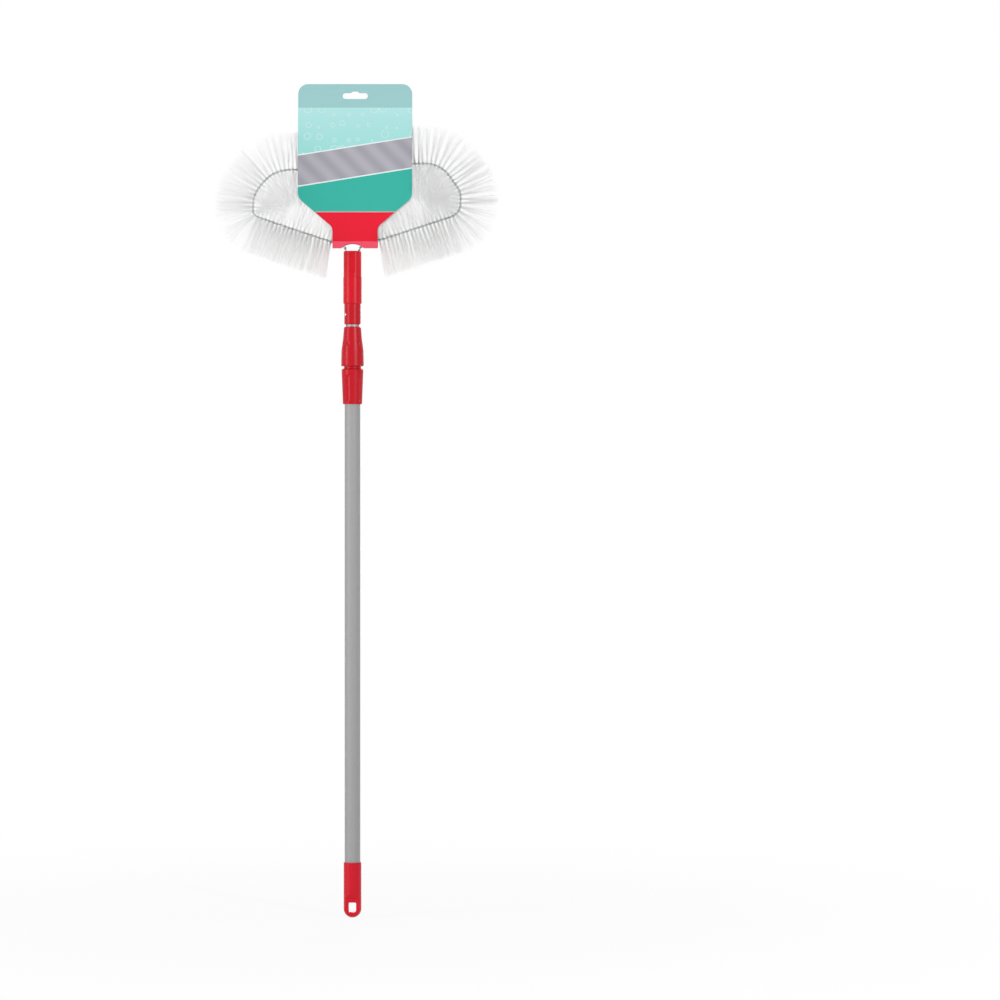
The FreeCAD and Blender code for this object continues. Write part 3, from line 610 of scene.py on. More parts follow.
def settle(piece: bpy.types.Object, body: Body, stands_for: str) -> None:
    """Join a piece to the frame.

    Args:
        piece: The piece.
        body: The body that it moves with.
        stands_for: The solid that it replaces.
    """
    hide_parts(stands_for)
    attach(piece, body.value)
    LOG.info("%s: %d faces on %s", piece.name, len(piece.data.polygons), body.value)


def unit(vectors: np.ndarray) -> np.ndarray:
    """Bring directions to length 1."""
    return vectors / np.linalg.norm(vectors, axis=-1, keepdims=True)


def hoops(rows: int, sides: int, base: int = 0, closed: bool = False) -> list[tuple[int, ...]]:
    """List the faces between rings of corners that follow each other.

    Args:
        rows: How many rings there are.
        sides: Corners in a ring.
        base: The number of the first corner.
        closed: Whether the last ring also joins the first.

    Returns:
        Corner numbers of each face.
    """
    faces = []
    for row in range(rows if closed else rows - 1):
        low, high = base + row * sides, base + (row + 1) % rows * sides
        for side in range(sides):
            ahead = (side + 1) % sides
            faces.append((low + side, low + ahead, high + ahead, high + side))
    return faces


def lathe(
    section: list[tuple[float, float]], steps: int, axis: np.ndarray, start: np.ndarray
) -> tuple[np.ndarray, list]:
    """Turn a closed section about an axis.

    Args:
        section: Radii with heights along the axis, up the outside and down the bore.
        steps: Corners in a full turn.
        axis: The axis's direction, of length 1.
        start: The point of the axis at height 0.

    Returns:
        Corner positions and faces.
    """
    upright = abs(axis[2]) > 0.5
    helper = (0.0, 1.0, 0.0) if upright else (0.0, 0.0, 1.0)
    first = np.cross(axis, helper)
    second = np.cross(axis, first)
    turns = np.linspace(0, 2 * math.pi, steps, endpoint=False)
    spokes = [math.cos(turn) * first + math.sin(turn) * second for turn in turns]
    points = [start + axis * height + spoke * radius for radius, height in section for spoke in spokes]
    return np.array(points), hoops(len(section), steps, closed=True)


def rounded(corners: list[tuple[float, float, float]], closed: bool, share: float = 0.48) -> np.ndarray:
    """Round the corners of a line by tangent arcs.

    Args:
        corners: Places in the brush's plane with the radius of each corner.
        closed: Whether the line comes back to its start.
        share: The most of a run that an arc may take.

    Returns:
        Points along the rounded line.
    """
    places = np.array([(x, z) for x, z, _ in corners])
    count = len(corners)
    points = []
    for step, (_, _, radius) in enumerate(corners):
        if radius == 0 or (not closed and step in (0, count - 1)):
            points.append(places[step])
            continue
        before = places[step - 1] - places[step]
        after = places[(step + 1) % count] - places[step]
        shortest = min(np.linalg.norm(before), np.linalg.norm(after))
        before, after = before / np.linalg.norm(before), after / np.linalg.norm(after)
        half = (math.pi - math.acos(float(np.clip(before @ after, -1, 1)))) / 2
        reach = min(radius * math.tan(half), share * shortest)
        middle = (before + after) / np.linalg.norm(before + after)
        centre = places[step] + middle * reach / math.sin(half)
        spoke = places[step] + before * reach - centre
        turn = 2 * half * np.sign(-before[0] * after[1] + before[1] * after[0])
        for part in np.linspace(0, turn, max(ARC_POINTS, int(2 * half / ARC_STEP))):
            cos, sin = math.cos(part), math.sin(part)
            points.append(centre + (spoke[0] * cos - spoke[1] * sin, spoke[0] * sin + spoke[1] * cos))
    return np.array(points)


def inside(points: np.ndarray, ring: np.ndarray) -> np.ndarray:
    """Tell which points lie in a closed outline.

    Args:
        points: Places in the brush's plane.
        ring: The outline.

    Returns:
        One truth value for each point.
    """
    odd = np.zeros(len(points), bool)
    for start, end in zip(ring, np.roll(ring, -1, axis=0)):
        crosses = (start[1] > points[:, 1]) != (end[1] > points[:, 1])
        slope = (end[0] - start[0]) / (end[1] - start[1]) if end[1] != start[1] else 0.0
        odd ^= crosses & (points[:, 0] < start[0] + (points[:, 1] - start[1]) * slope)
    return odd


@dataclass(frozen=True)
class Tube:
    """A steel tube on the pole's axis with broken edges.

    Attributes:
        node: The solid that it replaces.
        name: The piece's name.
        body: The body that it moves with.
        slot: The name of a material slot; not used.
        wall: The tube's wall.
        edge: The width of the broken edges.
        steps: Corners in a full turn.
    """

    node: str
    name: str
    body: Body
    slot: str
    wall: float
    edge: float = 0.25 * MM
    steps: int = 96

    def build(self, finish: Finish) -> None:
        """Turn the tube's section about the axis and dress it.

        Args:
            finish: The tube's finish.
        """
        low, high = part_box(self.node)
        radius = high.x
        bore = radius - self.wall
        section = [
            (radius - self.edge, low.z),
            (radius, low.z + self.edge),
            (radius, high.z - self.edge),
            (radius - self.edge, high.z),
            (bore, high.z),
            (bore, low.z),
        ]
        points, faces = lathe(section, self.steps, np.array((0.0, 0.0, 1.0)), np.zeros(3))
        piece = mesh_piece(self.name, points, faces, [finish.material()], sharp_deg=30)
        settle(piece, self.body, self.node)


@dataclass(frozen=True)
class HollowRivet:
    """The hollow rivet of the threaded tip, with a rolled rim round its dark bore.

    Attributes:
        turn_deg: How far it stands round the pole, from the front to the left.
        seat: How far from the pole's axis its head rests.
        shank: The radius of its shank.
        depth: How far the shank goes in.
        head: The radius of its head.
        rise: How far the rolled rim stands out.
        bore: The radius of its bore.
        steps: Corners in a full turn.
        arc_steps: Points across the rim.
    """

    turn_deg: float = 60.0
    seat: float = 10.5 * MM
    shank: float = 1.2 * MM
    depth: float = 2.5 * MM
    head: float = 2.0 * MM
    rise: float = 0.9 * MM
    bore: float = 1.05 * MM
    steps: int = 40
    arc_steps: int = 9

    def build(self, finish: Finish) -> None:
        """Turn the rivet's section about its own axis and dress it.

        Args:
            finish: The rivet's finish.
        """
        low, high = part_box("tip_rivet")
        turn = math.radians(self.turn_deg)
        axis = np.array((-math.sin(turn), -math.cos(turn), 0.0))
        middle = np.array((0.0, 0.0, (low.z + high.z) / 2))
        crown = (self.head + self.bore) / 2
        half = (self.head - self.bore) / 2
        rim = []
        for turn in np.linspace(0, math.pi, self.arc_steps):
            rim.append((crown + half * math.cos(turn), self.rise * math.sin(turn)))
        section = [(self.shank, -self.depth), (self.shank, 0.0), *rim, (self.bore, -self.depth)]
        points, faces = lathe(section, self.steps, axis, axis * self.seat + middle)
        piece = mesh_piece("hollow_rivet", points, faces, [finish.material()], sharp_deg=40)
        settle(piece, Body.INNER_POLE, "tip_rivet")


@dataclass(frozen=True)
class Flank:
    """One half of the wire loop, from the neck to its crown.

    Attributes:
        reach: How far the flank stands out.
        corner: The rise of its lower corner above the neck's bend and the bend's radius.
        side: The rise of its upper corner above the lower one and the bend's radius.
        crown: How far out its crown is, how far above the upper corner, and the bend's radius.
    """

    reach: float
    corner: tuple[float, float]
    side: tuple[float, float]
    crown: tuple[float, float, float]


@dataclass
class WireLoop:
    """The loop of two wires laid together, bent by hand and pressed into the socket.

    Attributes:
        left: The left half of the loop.
        right: The right half.
        leg: How far each leg stands from the pole's axis.
        leg_depth: How deep the legs go into the socket.
        neck_rise: How far above the socket the legs bend outwards.
        neck_radius: The radius of that bend.
        strand: The radius of one wire.
        lay: The length of a full turn of the twist.
        steps_per_turn: Rings of corners in a full turn.
        sides: Corners round one wire.
        line: The route in the brush's plane.
        runs: The lengths along the wire at the route's points.
    """

    left: Flank = Flank(
        reach=127.2 * MM,
        corner=(39.9 * MM, 9 * MM),
        side=(27 * MM, 42 * MM),
        crown=(101.3 * MM, 30.6 * MM, 42 * MM),
    )
    right: Flank = Flank(
        reach=138.5 * MM,
        corner=(42.2 * MM, 18 * MM),
        side=(28.3 * MM, 24 * MM),
        crown=(112 * MM, 37 * MM, 38 * MM),
    )
    leg: float = 8.5 * MM
    leg_depth: float = 30 * MM
    neck_rise: float = 6 * MM
    neck_radius: float = 8 * MM
    strand: float = 0.85 * MM
    lay: float = 10.4 * MM
    steps_per_turn: int = 20
    sides: int = 10
    line: np.ndarray = field(init=False)
    runs: np.ndarray = field(init=False)

    def __post_init__(self) -> None:
        """Work out the route from the socket's top."""
        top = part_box("brush_socket")[1].z
        bend = top + self.neck_rise
        foot = [(-self.leg, top - self.leg_depth, 0), (-self.leg, bend, self.neck_radius)]
        rising = foot + self.half(self.left, bend)
        falling = foot + self.half(self.right, bend)
        route = rising + [(-x, z, radius) for x, z, radius in reversed(falling)]
        self.line = rounded(route, closed=False)
        steps = np.linalg.norm(np.diff(self.line, axis=0), axis=1)
        self.runs = np.concatenate(([0], np.cumsum(steps)))

    def half(self, flank: Flank, bend: float) -> list[tuple[float, float, float]]:
        """List the corners of one flank as if it were the left one.

        Args:
            flank: The flank's sizes.
            bend: The height of the neck's bend.

        Returns:
            Places with the radius of each corner.
        """
        corner = bend + flank.corner[0]
        side = corner + flank.side[0]
        crown = side + flank.crown[1]
        return [
            (-flank.reach, corner, flank.corner[1]),
            (-flank.reach, side, flank.side[1]),
            (-flank.crown[0], crown, flank.crown[2]),
        ]

    @property
    def length(self) -> float:
        """The wire's length."""
        return float(self.runs[-1])

    def at(self, runs: np.ndarray) -> tuple[np.ndarray, np.ndarray, np.ndarray]:
        """Read the route at some lengths.

        Args:
            runs: Lengths along the wire.

        Returns:
            Places, directions along the wire, and directions out of the loop.
        """
        nudge = 0.4 * MM
        spots = []
        for shift in (0, nudge, -nudge):
            x, z = (np.interp(runs + shift, self.runs, self.line[:, axis]) for axis in (0, 1))
            spots.append(np.stack((x, np.zeros_like(x), z), axis=1))
        places, ahead, behind = spots
        along = unit(ahead - behind)
        return places, along, np.cross(FACING, along)

    def build(self, finish: Finish) -> None:
        """Sweep the two wires round each other and dress them.

        Args:
            finish: The wire's finish.
        """
        count = int(self.length / self.lay * self.steps_per_turn)
        runs = np.linspace(0, self.length, count)
        places, along, outward = self.at(runs)
        rounds = np.linspace(0, 2 * math.pi, self.sides, endpoint=False)
        points, faces = [], []
        for half_turn in (math.pi / 2, 3 * math.pi / 2):
            angle = (2 * math.pi * runs / self.lay + half_turn)[:, None]
            spoke = np.cos(angle) * outward + np.sin(angle) * FACING
            swing = np.cos(angle) * FACING - np.sin(angle) * outward
            heading = unit(along + swing * (2 * math.pi * self.strand / self.lay))
            beside = np.cross(heading, spoke)
            middle = places + spoke * self.strand
            rings = [middle + self.strand * (math.cos(a) * spoke + math.sin(a) * beside) for a in rounds]
            base = len(points) * count * self.sides
            points.append(np.stack(rings, axis=1).reshape(-1, 3))
            faces += hoops(count, self.sides, base)
            faces.append(tuple(base + side for side in reversed(range(self.sides))))
            faces.append(tuple(base + (count - 1) * self.sides + side for side in range(self.sides)))
        piece = mesh_piece("twisted_wire", np.concatenate(points), faces, [finish.material()], sharp_deg=50)
        settle(piece, Body.HEAD, "wire_core")


@dataclass
class CardSleeve:
    """The printed card, one sheet folded round the neck of the loop and glued at its header.

    Heights are above the bottom fold, and depths are from the brush's plane to the outside of a panel.

    Attributes:
        thickness: The board's thickness.
        corner: The radius of the top corners.
        header_height: The height of the glued header.
        bulge_height: Where the panels start to close towards the header.
        crease_height: Where the panels are creased over the tail.
        tail_width: The width of the tail round the neck.
        tail_height: Where the tail's straight sides end.
        tail_corner: The radius of the corners there.
        shoulder_height: Where the shoulders reach the full width.
        shoulder_corner: The radius of the corners there.
        strip_height: The height of the strip at the fold.
        strip_depth: The depth at the strip's top.
        fold_rise: The height over which the sheet turns at the fold.
        fold_depth: The depth above that turn.
        stem_radius: The radius of the hole for the socket and the wire's legs.
        stem_drop: How far the hole's middle lies below the fold.
        slot_width: The width of the hanging slot.
        slot_height: Its height.
        slot_depth: How far its foot lies below the card's top.
        slot_corner: The radius of its corners.
        hump_width: The width of the slot's hump at its foot.
        hump_top: The same at its top.
        hump_rise: The hump's height.
        hump_corner: The radius of its corners.
        warp: How far the panels wave.
        warp_waves: How fast they wave across and up, in radians for each metre.
        warp_shift: Where the wave across starts, in radians.
        cell: The spacing of the mesh's rows.
        fold_rows: Rows of the mesh at the fold, as shares of the turn's height.
        stem_steps: Points round the stem's hole.
        near: A distance that counts as none.
        rim_margin: How far from the hole's edge a cut edge still counts as its rim.
        weld_digits: The decimals of a metre by which corners of the mesh are told apart.
        fold: The height of the bottom fold.
        top: The height of the top edge.
        left: The left edge.
        right: The right edge.
        middle: The middle between them.
        bulge: The greatest depth.
        turn: The height where the turn at the fold ends.
        strip: The height where the strip ends.
        crease: The height of the crease.
        bulge_line: The height where the panels start to close.
        header: The height where the header starts.
    """

    thickness: float = 0.5 * MM
    corner: float = 12.8 * MM
    header_height: float = 30.1 * MM
    bulge_height: float = 118.7 * MM
    crease_height: float = 46.3 * MM
    tail_width: float = 58 * MM
    tail_height: float = 26.7 * MM
    tail_corner: float = 10 * MM
    shoulder_height: float = 64.3 * MM
    shoulder_corner: float = 14 * MM
    strip_height: float = 8.3 * MM
    strip_depth: float = 6.5 * MM
    fold_rise: float = 0.9 * MM
    fold_depth: float = 3 * MM
    stem_radius: float = 21.5 * MM
    stem_drop: float = 15.7 * MM
    slot_width: float = 32 * MM
    slot_height: float = 7.4 * MM
    slot_depth: float = 19 * MM
    slot_corner: float = 3.6 * MM
    hump_width: float = 11 * MM
    hump_top: float = 6 * MM
    hump_rise: float = 2 * MM
    hump_corner: float = 1.4 * MM
    warp: float = 0.5 * MM
    warp_waves: tuple[float, float] = (31.0, 27.0)
    warp_shift: float = 0.6
    cell: float = 4 * MM
    fold_rows: tuple[float, ...] = (0.35, 0.7, 1.0, 2.0)
    stem_steps: int = 144
    near: float = 0.001 * MM
    rim_margin: float = 0.1 * MM
    weld_digits: int = 7
    fold: float = field(init=False)
    top: float = field(init=False)
    left: float = field(init=False)
    right: float = field(init=False)
    middle: float = field(init=False)
    bulge: float = field(init=False)
    turn: float = field(init=False)
    strip: float = field(init=False)
    crease: float = field(init=False)
    bulge_line: float = field(init=False)
    header: float = field(init=False)

    def __post_init__(self) -> None:
        """Take the card's reach from its solid."""
        low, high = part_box("header_card")
        self.fold, self.top = low.z, high.z
        self.left, self.right = low.x, high.x
        self.middle = (low.x + high.x) / 2
        self.bulge = high.y
        levels = (self.fold_rise, self.strip_height, self.crease_height, self.bulge_height)
        self.turn, self.strip, self.crease, self.bulge_line = (self.fold + level for level in levels)
        self.header = self.top - self.header_height

    def depth(self, z: np.ndarray) -> np.ndarray:
        """Give how far the outside of a panel stands from the brush's plane at some heights.

        Args:
            z: The heights.

        Returns:
            The depths.
        """
        rise = np.clip((self.header - z) / (self.header - self.bulge_line), 0, 1)
        bowed = self.thickness + (self.bulge - self.thickness) * np.sin(rise * math.pi / 2)
        levels = (self.fold, self.turn, self.strip, self.crease)
        tail = np.interp(z, levels, (0, self.fold_depth, self.strip_depth, self.bulge))
        return np.where(z > self.crease, bowed, tail)

    def lining(self, z: np.ndarray) -> tuple[np.ndarray, np.ndarray]:
        """Give the inner face of a panel behind points of its outside.

        Args:
            z: Heights of the points outside.

        Returns:
            Depths and heights of the points inside.
        """
        step = 0.3 * MM
        below = np.maximum(z - step, self.fold)
        slope = (self.depth(z + step) - self.depth(below)) / (z + step - below)
        square = self.thickness / np.sqrt(1 + slope**2)
        at_fold, glued = z < self.fold + self.near, z > self.header - self.near
        inward = np.where(at_fold | glued, 0, self.depth(z) - square)
        lifted = np.where(at_fold, z + self.thickness, np.where(glued, z, z + square * slope))
        return inward, lifted

    def half_width(self, z: np.ndarray) -> np.ndarray:
        """Give half the card's width at some heights, with straight shoulders."""
        levels = (self.fold + self.tail_height, self.fold + self.shoulder_height)
        return np.interp(z, levels, (self.tail_width / 2, (self.right - self.left) / 2))

    def mirrored(self, half: list[tuple[float, float, float]]) -> np.ndarray:
        """Complete an outline from its right half and round its corners."""
        whole = half + [(-x, z, radius) for x, z, radius in reversed(half)]
        return rounded([(self.middle + x, z, radius) for x, z, radius in whole], closed=True)

    def outline(self) -> np.ndarray:
        """Give the card's outline with its rounded corners.

        Returns:
            Points in the brush's plane.
        """
        tail = self.tail_width / 2
        wide = (self.right - self.left) / 2
        return self.mirrored(
            [
                (tail, self.fold, 0),
                (tail, self.fold + self.tail_height, self.tail_corner),
                (wide, self.fold + self.shoulder_height, self.shoulder_corner),
                (wide, self.top, self.corner),
            ]
        )

    def slot(self) -> np.ndarray:
        """Give the outline of the hanging slot with its hump.

        Returns:
            Points in the brush's plane.
        """
        low = self.top - self.slot_depth
        high = low + self.slot_height
        return self.mirrored(
            [
                (self.slot_width / 2, low, self.slot_corner),
                (self.slot_width / 2, high, self.slot_corner),
                (self.hump_width / 2, high, self.hump_corner),
                (self.hump_top / 2, high + self.hump_rise, self.hump_corner),
            ]
        )

    def stem(self) -> np.ndarray:
        """Give the round hole for the socket and the wire's legs.

        Returns:
            Points in the brush's plane.
        """
        turns = np.linspace(0, 2 * math.pi, self.stem_steps, endpoint=False)
        ring = self.stem_radius * np.stack((np.cos(turns), np.sin(turns)), axis=1)
        return ring + (0, self.fold - self.stem_drop)

    def cells(self) -> tuple[np.ndarray, np.ndarray]:
        """Divide the flat card into triangles.

        Returns:
            Places in the brush's plane, and corner numbers of the triangles.
        """
        rings = [self.outline(), self.slot(), self.stem()]
        points = [tuple(point) for ring in rings for point in ring]
        edges = []
        start = 0
        for ring in rings:
            count = len(ring)
            edges += [(start + step, start + (step + 1) % count) for step in range(count)]
            start += count
        margin = self.cell
        rows = [*np.arange(self.fold, self.top, self.cell)[1:], self.strip, self.crease, self.header]
        rows += [self.fold + share * self.fold_rise for share in self.fold_rows]
        for z in sorted(rows):
            edges.append((len(points), len(points) + 1))
            points += [(self.left - margin, z), (self.right + margin, z)]
        for x in np.arange(self.left + margin, self.right, self.cell * 2):
            edges.append((len(points), len(points) + 1))
            points += [(x, self.fold - margin), (x, self.top + margin)]
        places = [Vector(point) for point in points]
        weld = 10**-self.weld_digits
        flat, _, triangles, *_ = geometry.delaunay_2d_cdt(places, edges, [], 0, weld, False)
        flat = np.array(flat)
        triangles = np.array(triangles)
        centres = flat[triangles].mean(axis=1)
        kept = inside(centres, rings[0]) & ~inside(centres, rings[1]) & ~inside(centres, rings[2])
        used, triangles = np.unique(triangles[kept], return_inverse=True)
        return flat[used], triangles.reshape(-1, 3)

    def rim(self, flat: np.ndarray, triangles: np.ndarray) -> list[tuple[int, int]]:
        """List the cut edges of the flat card, with the card on the left of each and without the fold.

        Args:
            flat: Corners of the flat card.
            triangles: Corner numbers of its triangles.

        Returns:
            Corner numbers of each edge.
        """
        sides = np.concatenate((triangles[:, :2], triangles[:, 1:], triangles[:, (2, 0)])).tolist()
        known = {(start, end) for start, end in sides}
        folded = flat[:, 1] < self.fold + self.near
        return [(a, b) for a, b in sides if (b, a) not in known and not (folded[a] and folded[b])]

    def build(self, print_finish: Finish, board_finish: Finish) -> None:
        """Fold the sheet, give it its thickness and dress it.

        Args:
            print_finish: The printed outside, also laid inside the sheet below the strip and on the hole's
                cut edge as a painted reflection of the red.
            board_finish: The plain inside and the other cut edges.
        """
        flat, triangles = self.cells()
        rim = np.array(self.rim(flat, triangles))
        x, z = flat[:, 0], flat[:, 1]
        count = len(flat)
        half_span = (self.header - self.crease) / 2
        free = np.clip((self.header - z) * (z - self.crease) / half_span**2, 0, 1)
        waves = np.sin((x - self.left) * self.warp_waves[0] + self.warp_shift)
        wave = waves * np.cos((z - self.fold) * self.warp_waves[1]) * free * self.warp
        inward, lifted = self.lining(z)
        open_cells = triangles[(z[triangles] < self.header - self.near).any(axis=1)]
        reflection_painted_cells = (z[open_cells] < self.strip).any(axis=1)
        from_stem = np.hypot(x, z - self.fold + self.stem_drop)
        reflection_painted_rim = from_stem[rim].max(axis=1) < self.stem_radius + self.rim_margin
        points, faces, slots = [], [], []
        for panel, sign in enumerate((-1, 1)):
            base = 2 * panel * count
            points.append(np.stack((x, sign * (self.depth(z) + wave), z), axis=1))
            points.append(np.stack((x, sign * (inward + wave), lifted), axis=1))
            edges = np.concatenate((rim[:, ::-1], rim + count), axis=1)
            for group in (triangles, open_cells[:, ::-1] + count, edges):
                faces += [tuple(face) for face in (group[:, ::-sign] + base).tolist()]
            slots += [0] * len(triangles)
            # The inside below the strip and the hole's cut edge get the print instead of plain board: a
            # painted reflection of the red round the fold.
            for plain in (~reflection_painted_cells, ~reflection_painted_rim):
                slots += plain.astype(int).tolist()
        # Adding nothing turns a minus zero into a plain one, so that both are one corner.
        corners = np.concatenate(points).round(self.weld_digits) + 0.0
        points, welded = np.unique(corners, axis=0, return_inverse=True)
        welded = welded.ravel()
        faces = [tuple(int(welded[corner]) for corner in face) for face in faces]
        materials = [print_finish.material(), board_finish.material()]
        piece = mesh_piece("card_sleeve", points, faces, materials, sharp_deg=25)
        piece.data.polygons.foreach_set("material_index", slots)
        piece.data.update()
        settle(piece, Body.HEAD, "header_card")


@dataclass
class Bristle:
    """Straight filaments pinched between the twisted wires, in thin fans, one for each half turn.

    Attributes:
        per_fan: Filament ends in one fan, all round the wire.
        length: The length of a filament.
        spread: How much lengths differ, as a standard deviation.
        spread_limits: The most that a filament is shorter or longer, in such deviations.
        root: The radius of a filament at the wire.
        tip: Its radius at the end.
        gather: How much closer the filaments stand in the loop's plane than across it, from 0 to 1.
        thin: The share of the wire's half turn that a fan takes up.
        fan_lean: How far fans lean along the wire.
        neat_lean: How far single filaments lean from their fan on the outside of the loop's upper half.
        loose_lean: The same along the lower runs, where they have been pressed together.
        tangled_lean: The same on the inside, where they cross each other.
        corner_splay: How much wider the filaments spread where the wire bends.
        left_share: The share of filaments that the left has kept on its upper outside and on its inside.
        right_share: The same on the right.
        bow: How far filaments are bowed, as a share of their length.
        outer_limit: The cosine of the angle round the wire down to which filaments count as outer ones.
        neck_limit: The same for those that are missing at the card's tail.
        neck_bare: How far from the pole's axis the bristle starts.
        neck_splay_deg: How far the first filaments hang towards the neck.
        neck_run: How far outwards that fades out.
        tail_margin: How far beside the card's tail the wire is still bare.
        card_margin: How far beside the card its panels still press the filaments.
        pressed: The share of their depth that pressed filaments keep.
        clearance: The room between the filaments and the card.
        rings: Rings of corners along a filament.
        finer: Steps from ring to ring at which a filament is kept clear of the card.
        sides: Corners round a filament.
        seed: The seed of the random draws.
    """

    per_fan: int = 124
    length: float = 47.5 * MM
    spread: float = 1.3 * MM
    spread_limits: tuple[float, float] = (-3.0, 2.0)
    root: float = 0.11 * MM
    tip: float = 0.08 * MM
    gather: float = 0.5
    thin: float = 0.65
    fan_lean: float = 0.03
    neat_lean: float = 0.03
    loose_lean: float = 0.06
    tangled_lean: float = 0.3
    corner_splay: float = 2.0
    left_share: tuple[float, float] = (0.27, 0.28)
    right_share: tuple[float, float] = (0.5, 0.51)
    bow: float = 0.015
    outer_limit: float = -0.3
    neck_limit: float = -0.35
    neck_bare: float = 20 * MM
    neck_splay_deg: float = 9
    tail_margin: float = 1.5 * MM
    card_margin: float = 3 * MM
    pressed: float = 0.12
    neck_run: float = 60 * MM
    clearance: float = 0.5 * MM
    rings: int = 4
    finer: int = 4
    sides: int = 4
    seed: int = 7

    def build(self, wire: WireLoop, card: CardSleeve, finish: Finish) -> None:
        """Grow the filaments on the wire, flatten those in the card and dress them.

        Args:
            wire: The loop that holds them.
            card: The card that presses some of them flat.
            finish: The filaments' finish.
        """
        lines, angles = self.filaments(wire, card)
        material = finish.material()
        quarter = np.round(np.degrees(angles) / 90).astype(int) % len(Side)
        for side in Side:
            points, faces = self.skins(lines[quarter == side.value])
            piece = mesh_piece(f"{side.name.lower()}_filaments", points, faces, [material], sharp_deg=60)
            settle(piece, Body.HEAD, f"{side.name.lower()}_bristles")

    def filaments(self, wire: WireLoop, card: CardSleeve) -> tuple[np.ndarray, np.ndarray]:
        """Lay out the filaments' middle lines.

        Args:
            wire: The loop that holds them.
            card: The card that presses some of them flat.

        Returns:
            Points of each filament from root to tip, and its angle round the wire.
        """
        rng = np.random.default_rng(self.seed)
        pitch = wire.lay / 2
        fans = int(wire.length / pitch)
        count = fans * self.per_fan
        fan = np.repeat(np.arange(fans), self.per_fan)
        turns = math.pi * (rng.random(count) - 0.5)
        turns -= self.gather / 2 * np.sin(2 * turns)
        runs = (fan + 0.5 + turns / math.pi * self.thin) * pitch
        angles = turns + math.pi * (np.arange(count) % 2)
        shortest, longest = (limit * self.spread for limit in self.spread_limits)
        lengths = self.length + rng.normal(0, self.spread, count).clip(shortest, longest)
        fan_slants = rng.normal(0, self.fan_lean, fans)[fan]
        slants = rng.normal(0, 1, count)
        bows = rng.normal(0, self.bow, (count, 2))
        chances = rng.random(count)
        places, along, outward = wire.at(runs)
        turning = np.linalg.norm(wire.at(runs + pitch)[1] - wire.at(runs - pitch)[1], axis=1)
        share, lean = self.habit(places, angles, turning, card)
        slants = slants * lean + fan_slants
        low = places[:, 2] < card.crease
        beside = np.abs(places[:, 0] - np.where(low, 0, card.middle))
        at_neck = low & (np.abs(places[:, 0] - card.middle) < card.tail_width / 2 + self.tail_margin)
        bare = (low & (beside < self.neck_bare)) | (at_neck & (np.cos(angles) > self.neck_limit))
        kept = (chances < share) & ~bare
        cos, sin = np.cos(angles)[:, None], np.sin(angles)[:, None]
        heading = cos * outward + sin * FACING + slants[:, None] * along
        nearness = np.clip(1 - (beside - self.neck_bare) / self.neck_run, 0, 1)
        splay = nearness * low * np.clip(cos[:, 0], 0, 1)
        heading[:, 0] -= np.sign(places[:, 0]) * splay * math.tan(math.radians(self.neck_splay_deg))
        heading = unit(heading)
        covered = at_neck | (~low & (beside < (card.right - card.left) / 2 + self.card_margin))
        flat = np.where(covered, self.pressed, 1.0)
        heading[:, 1] *= flat
        heading = unit(heading)
        across = np.cross(heading, along)
        bend = (bows[:, :1] * along + bows[:, 1:] * across * flat[:, None]) * lengths[:, None]
        shares = np.linspace(0, 1, (self.rings - 1) * self.finer + 1)[None, :, None]
        lines = places[:, None] + heading[:, None] * lengths[:, None, None] * shares
        lines += bend[:, None] * shares**2
        return self.tucked(lines, card)[kept, :: self.finer], angles[kept]

    def habit(
        self, places: np.ndarray, angles: np.ndarray, turning: np.ndarray, card: CardSleeve
    ) -> tuple[np.ndarray, np.ndarray]:
        """Tell how dense and how untidy the bristle is at some roots.

        Args:
            places: The roots.
            angles: The filaments' angles round the wire.
            turning: How much the wire bends there.
            card: The card, whose creases mark the heights.

        Returns:
            The share of filaments that is kept, and how far single filaments lean along the wire.
        """
        height = np.clip((places[:, 2] - card.crease) / (card.bulge_line - card.crease), 0, 1)
        outer = np.cos(angles) > self.outer_limit
        kept = np.where(places[:, :1] < 0, self.left_share, self.right_share)
        share = np.where(outer, 1 - height * (1 - kept[:, 0]), kept[:, 1])
        outer_lean = self.loose_lean + height * (self.neat_lean - self.loose_lean)
        outer_lean *= 1 + self.corner_splay * turning
        # Inside the loop, the lower runs are half as tangled as the upper half.
        inner_lean = self.tangled_lean * (1 + height) / 2
        return share, np.where(outer, outer_lean, inner_lean)

    def tucked(self, lines: np.ndarray, card: CardSleeve) -> np.ndarray:
        """Press the filaments that run under the card between its panels.

        Args:
            lines: Points of each filament.
            card: The card.

        Returns:
            The points after pressing.
        """
        x, y, z = lines[..., 0], np.abs(lines[..., 1]), lines[..., 2]
        margin = 2 * MM
        under = (np.abs(x - card.middle) < card.half_width(z) + margin) & (z > card.fold - margin)
        room = np.maximum(card.depth(z) - card.thickness - self.clearance, self.root)
        share = np.where(under, room / np.maximum(y, room), 1.0).min(axis=1)
        pressed = lines.copy()
        pressed[..., 1] *= share[:, None]
        return pressed

    def skins(self, lines: np.ndarray) -> tuple[np.ndarray, list]:
        """Give filaments their round, tapered skin.

        Args:
            lines: Points of each filament.

        Returns:
            Corner positions and faces.
        """
        count = len(lines)
        heading = unit(lines[:, -1] - lines[:, 0])
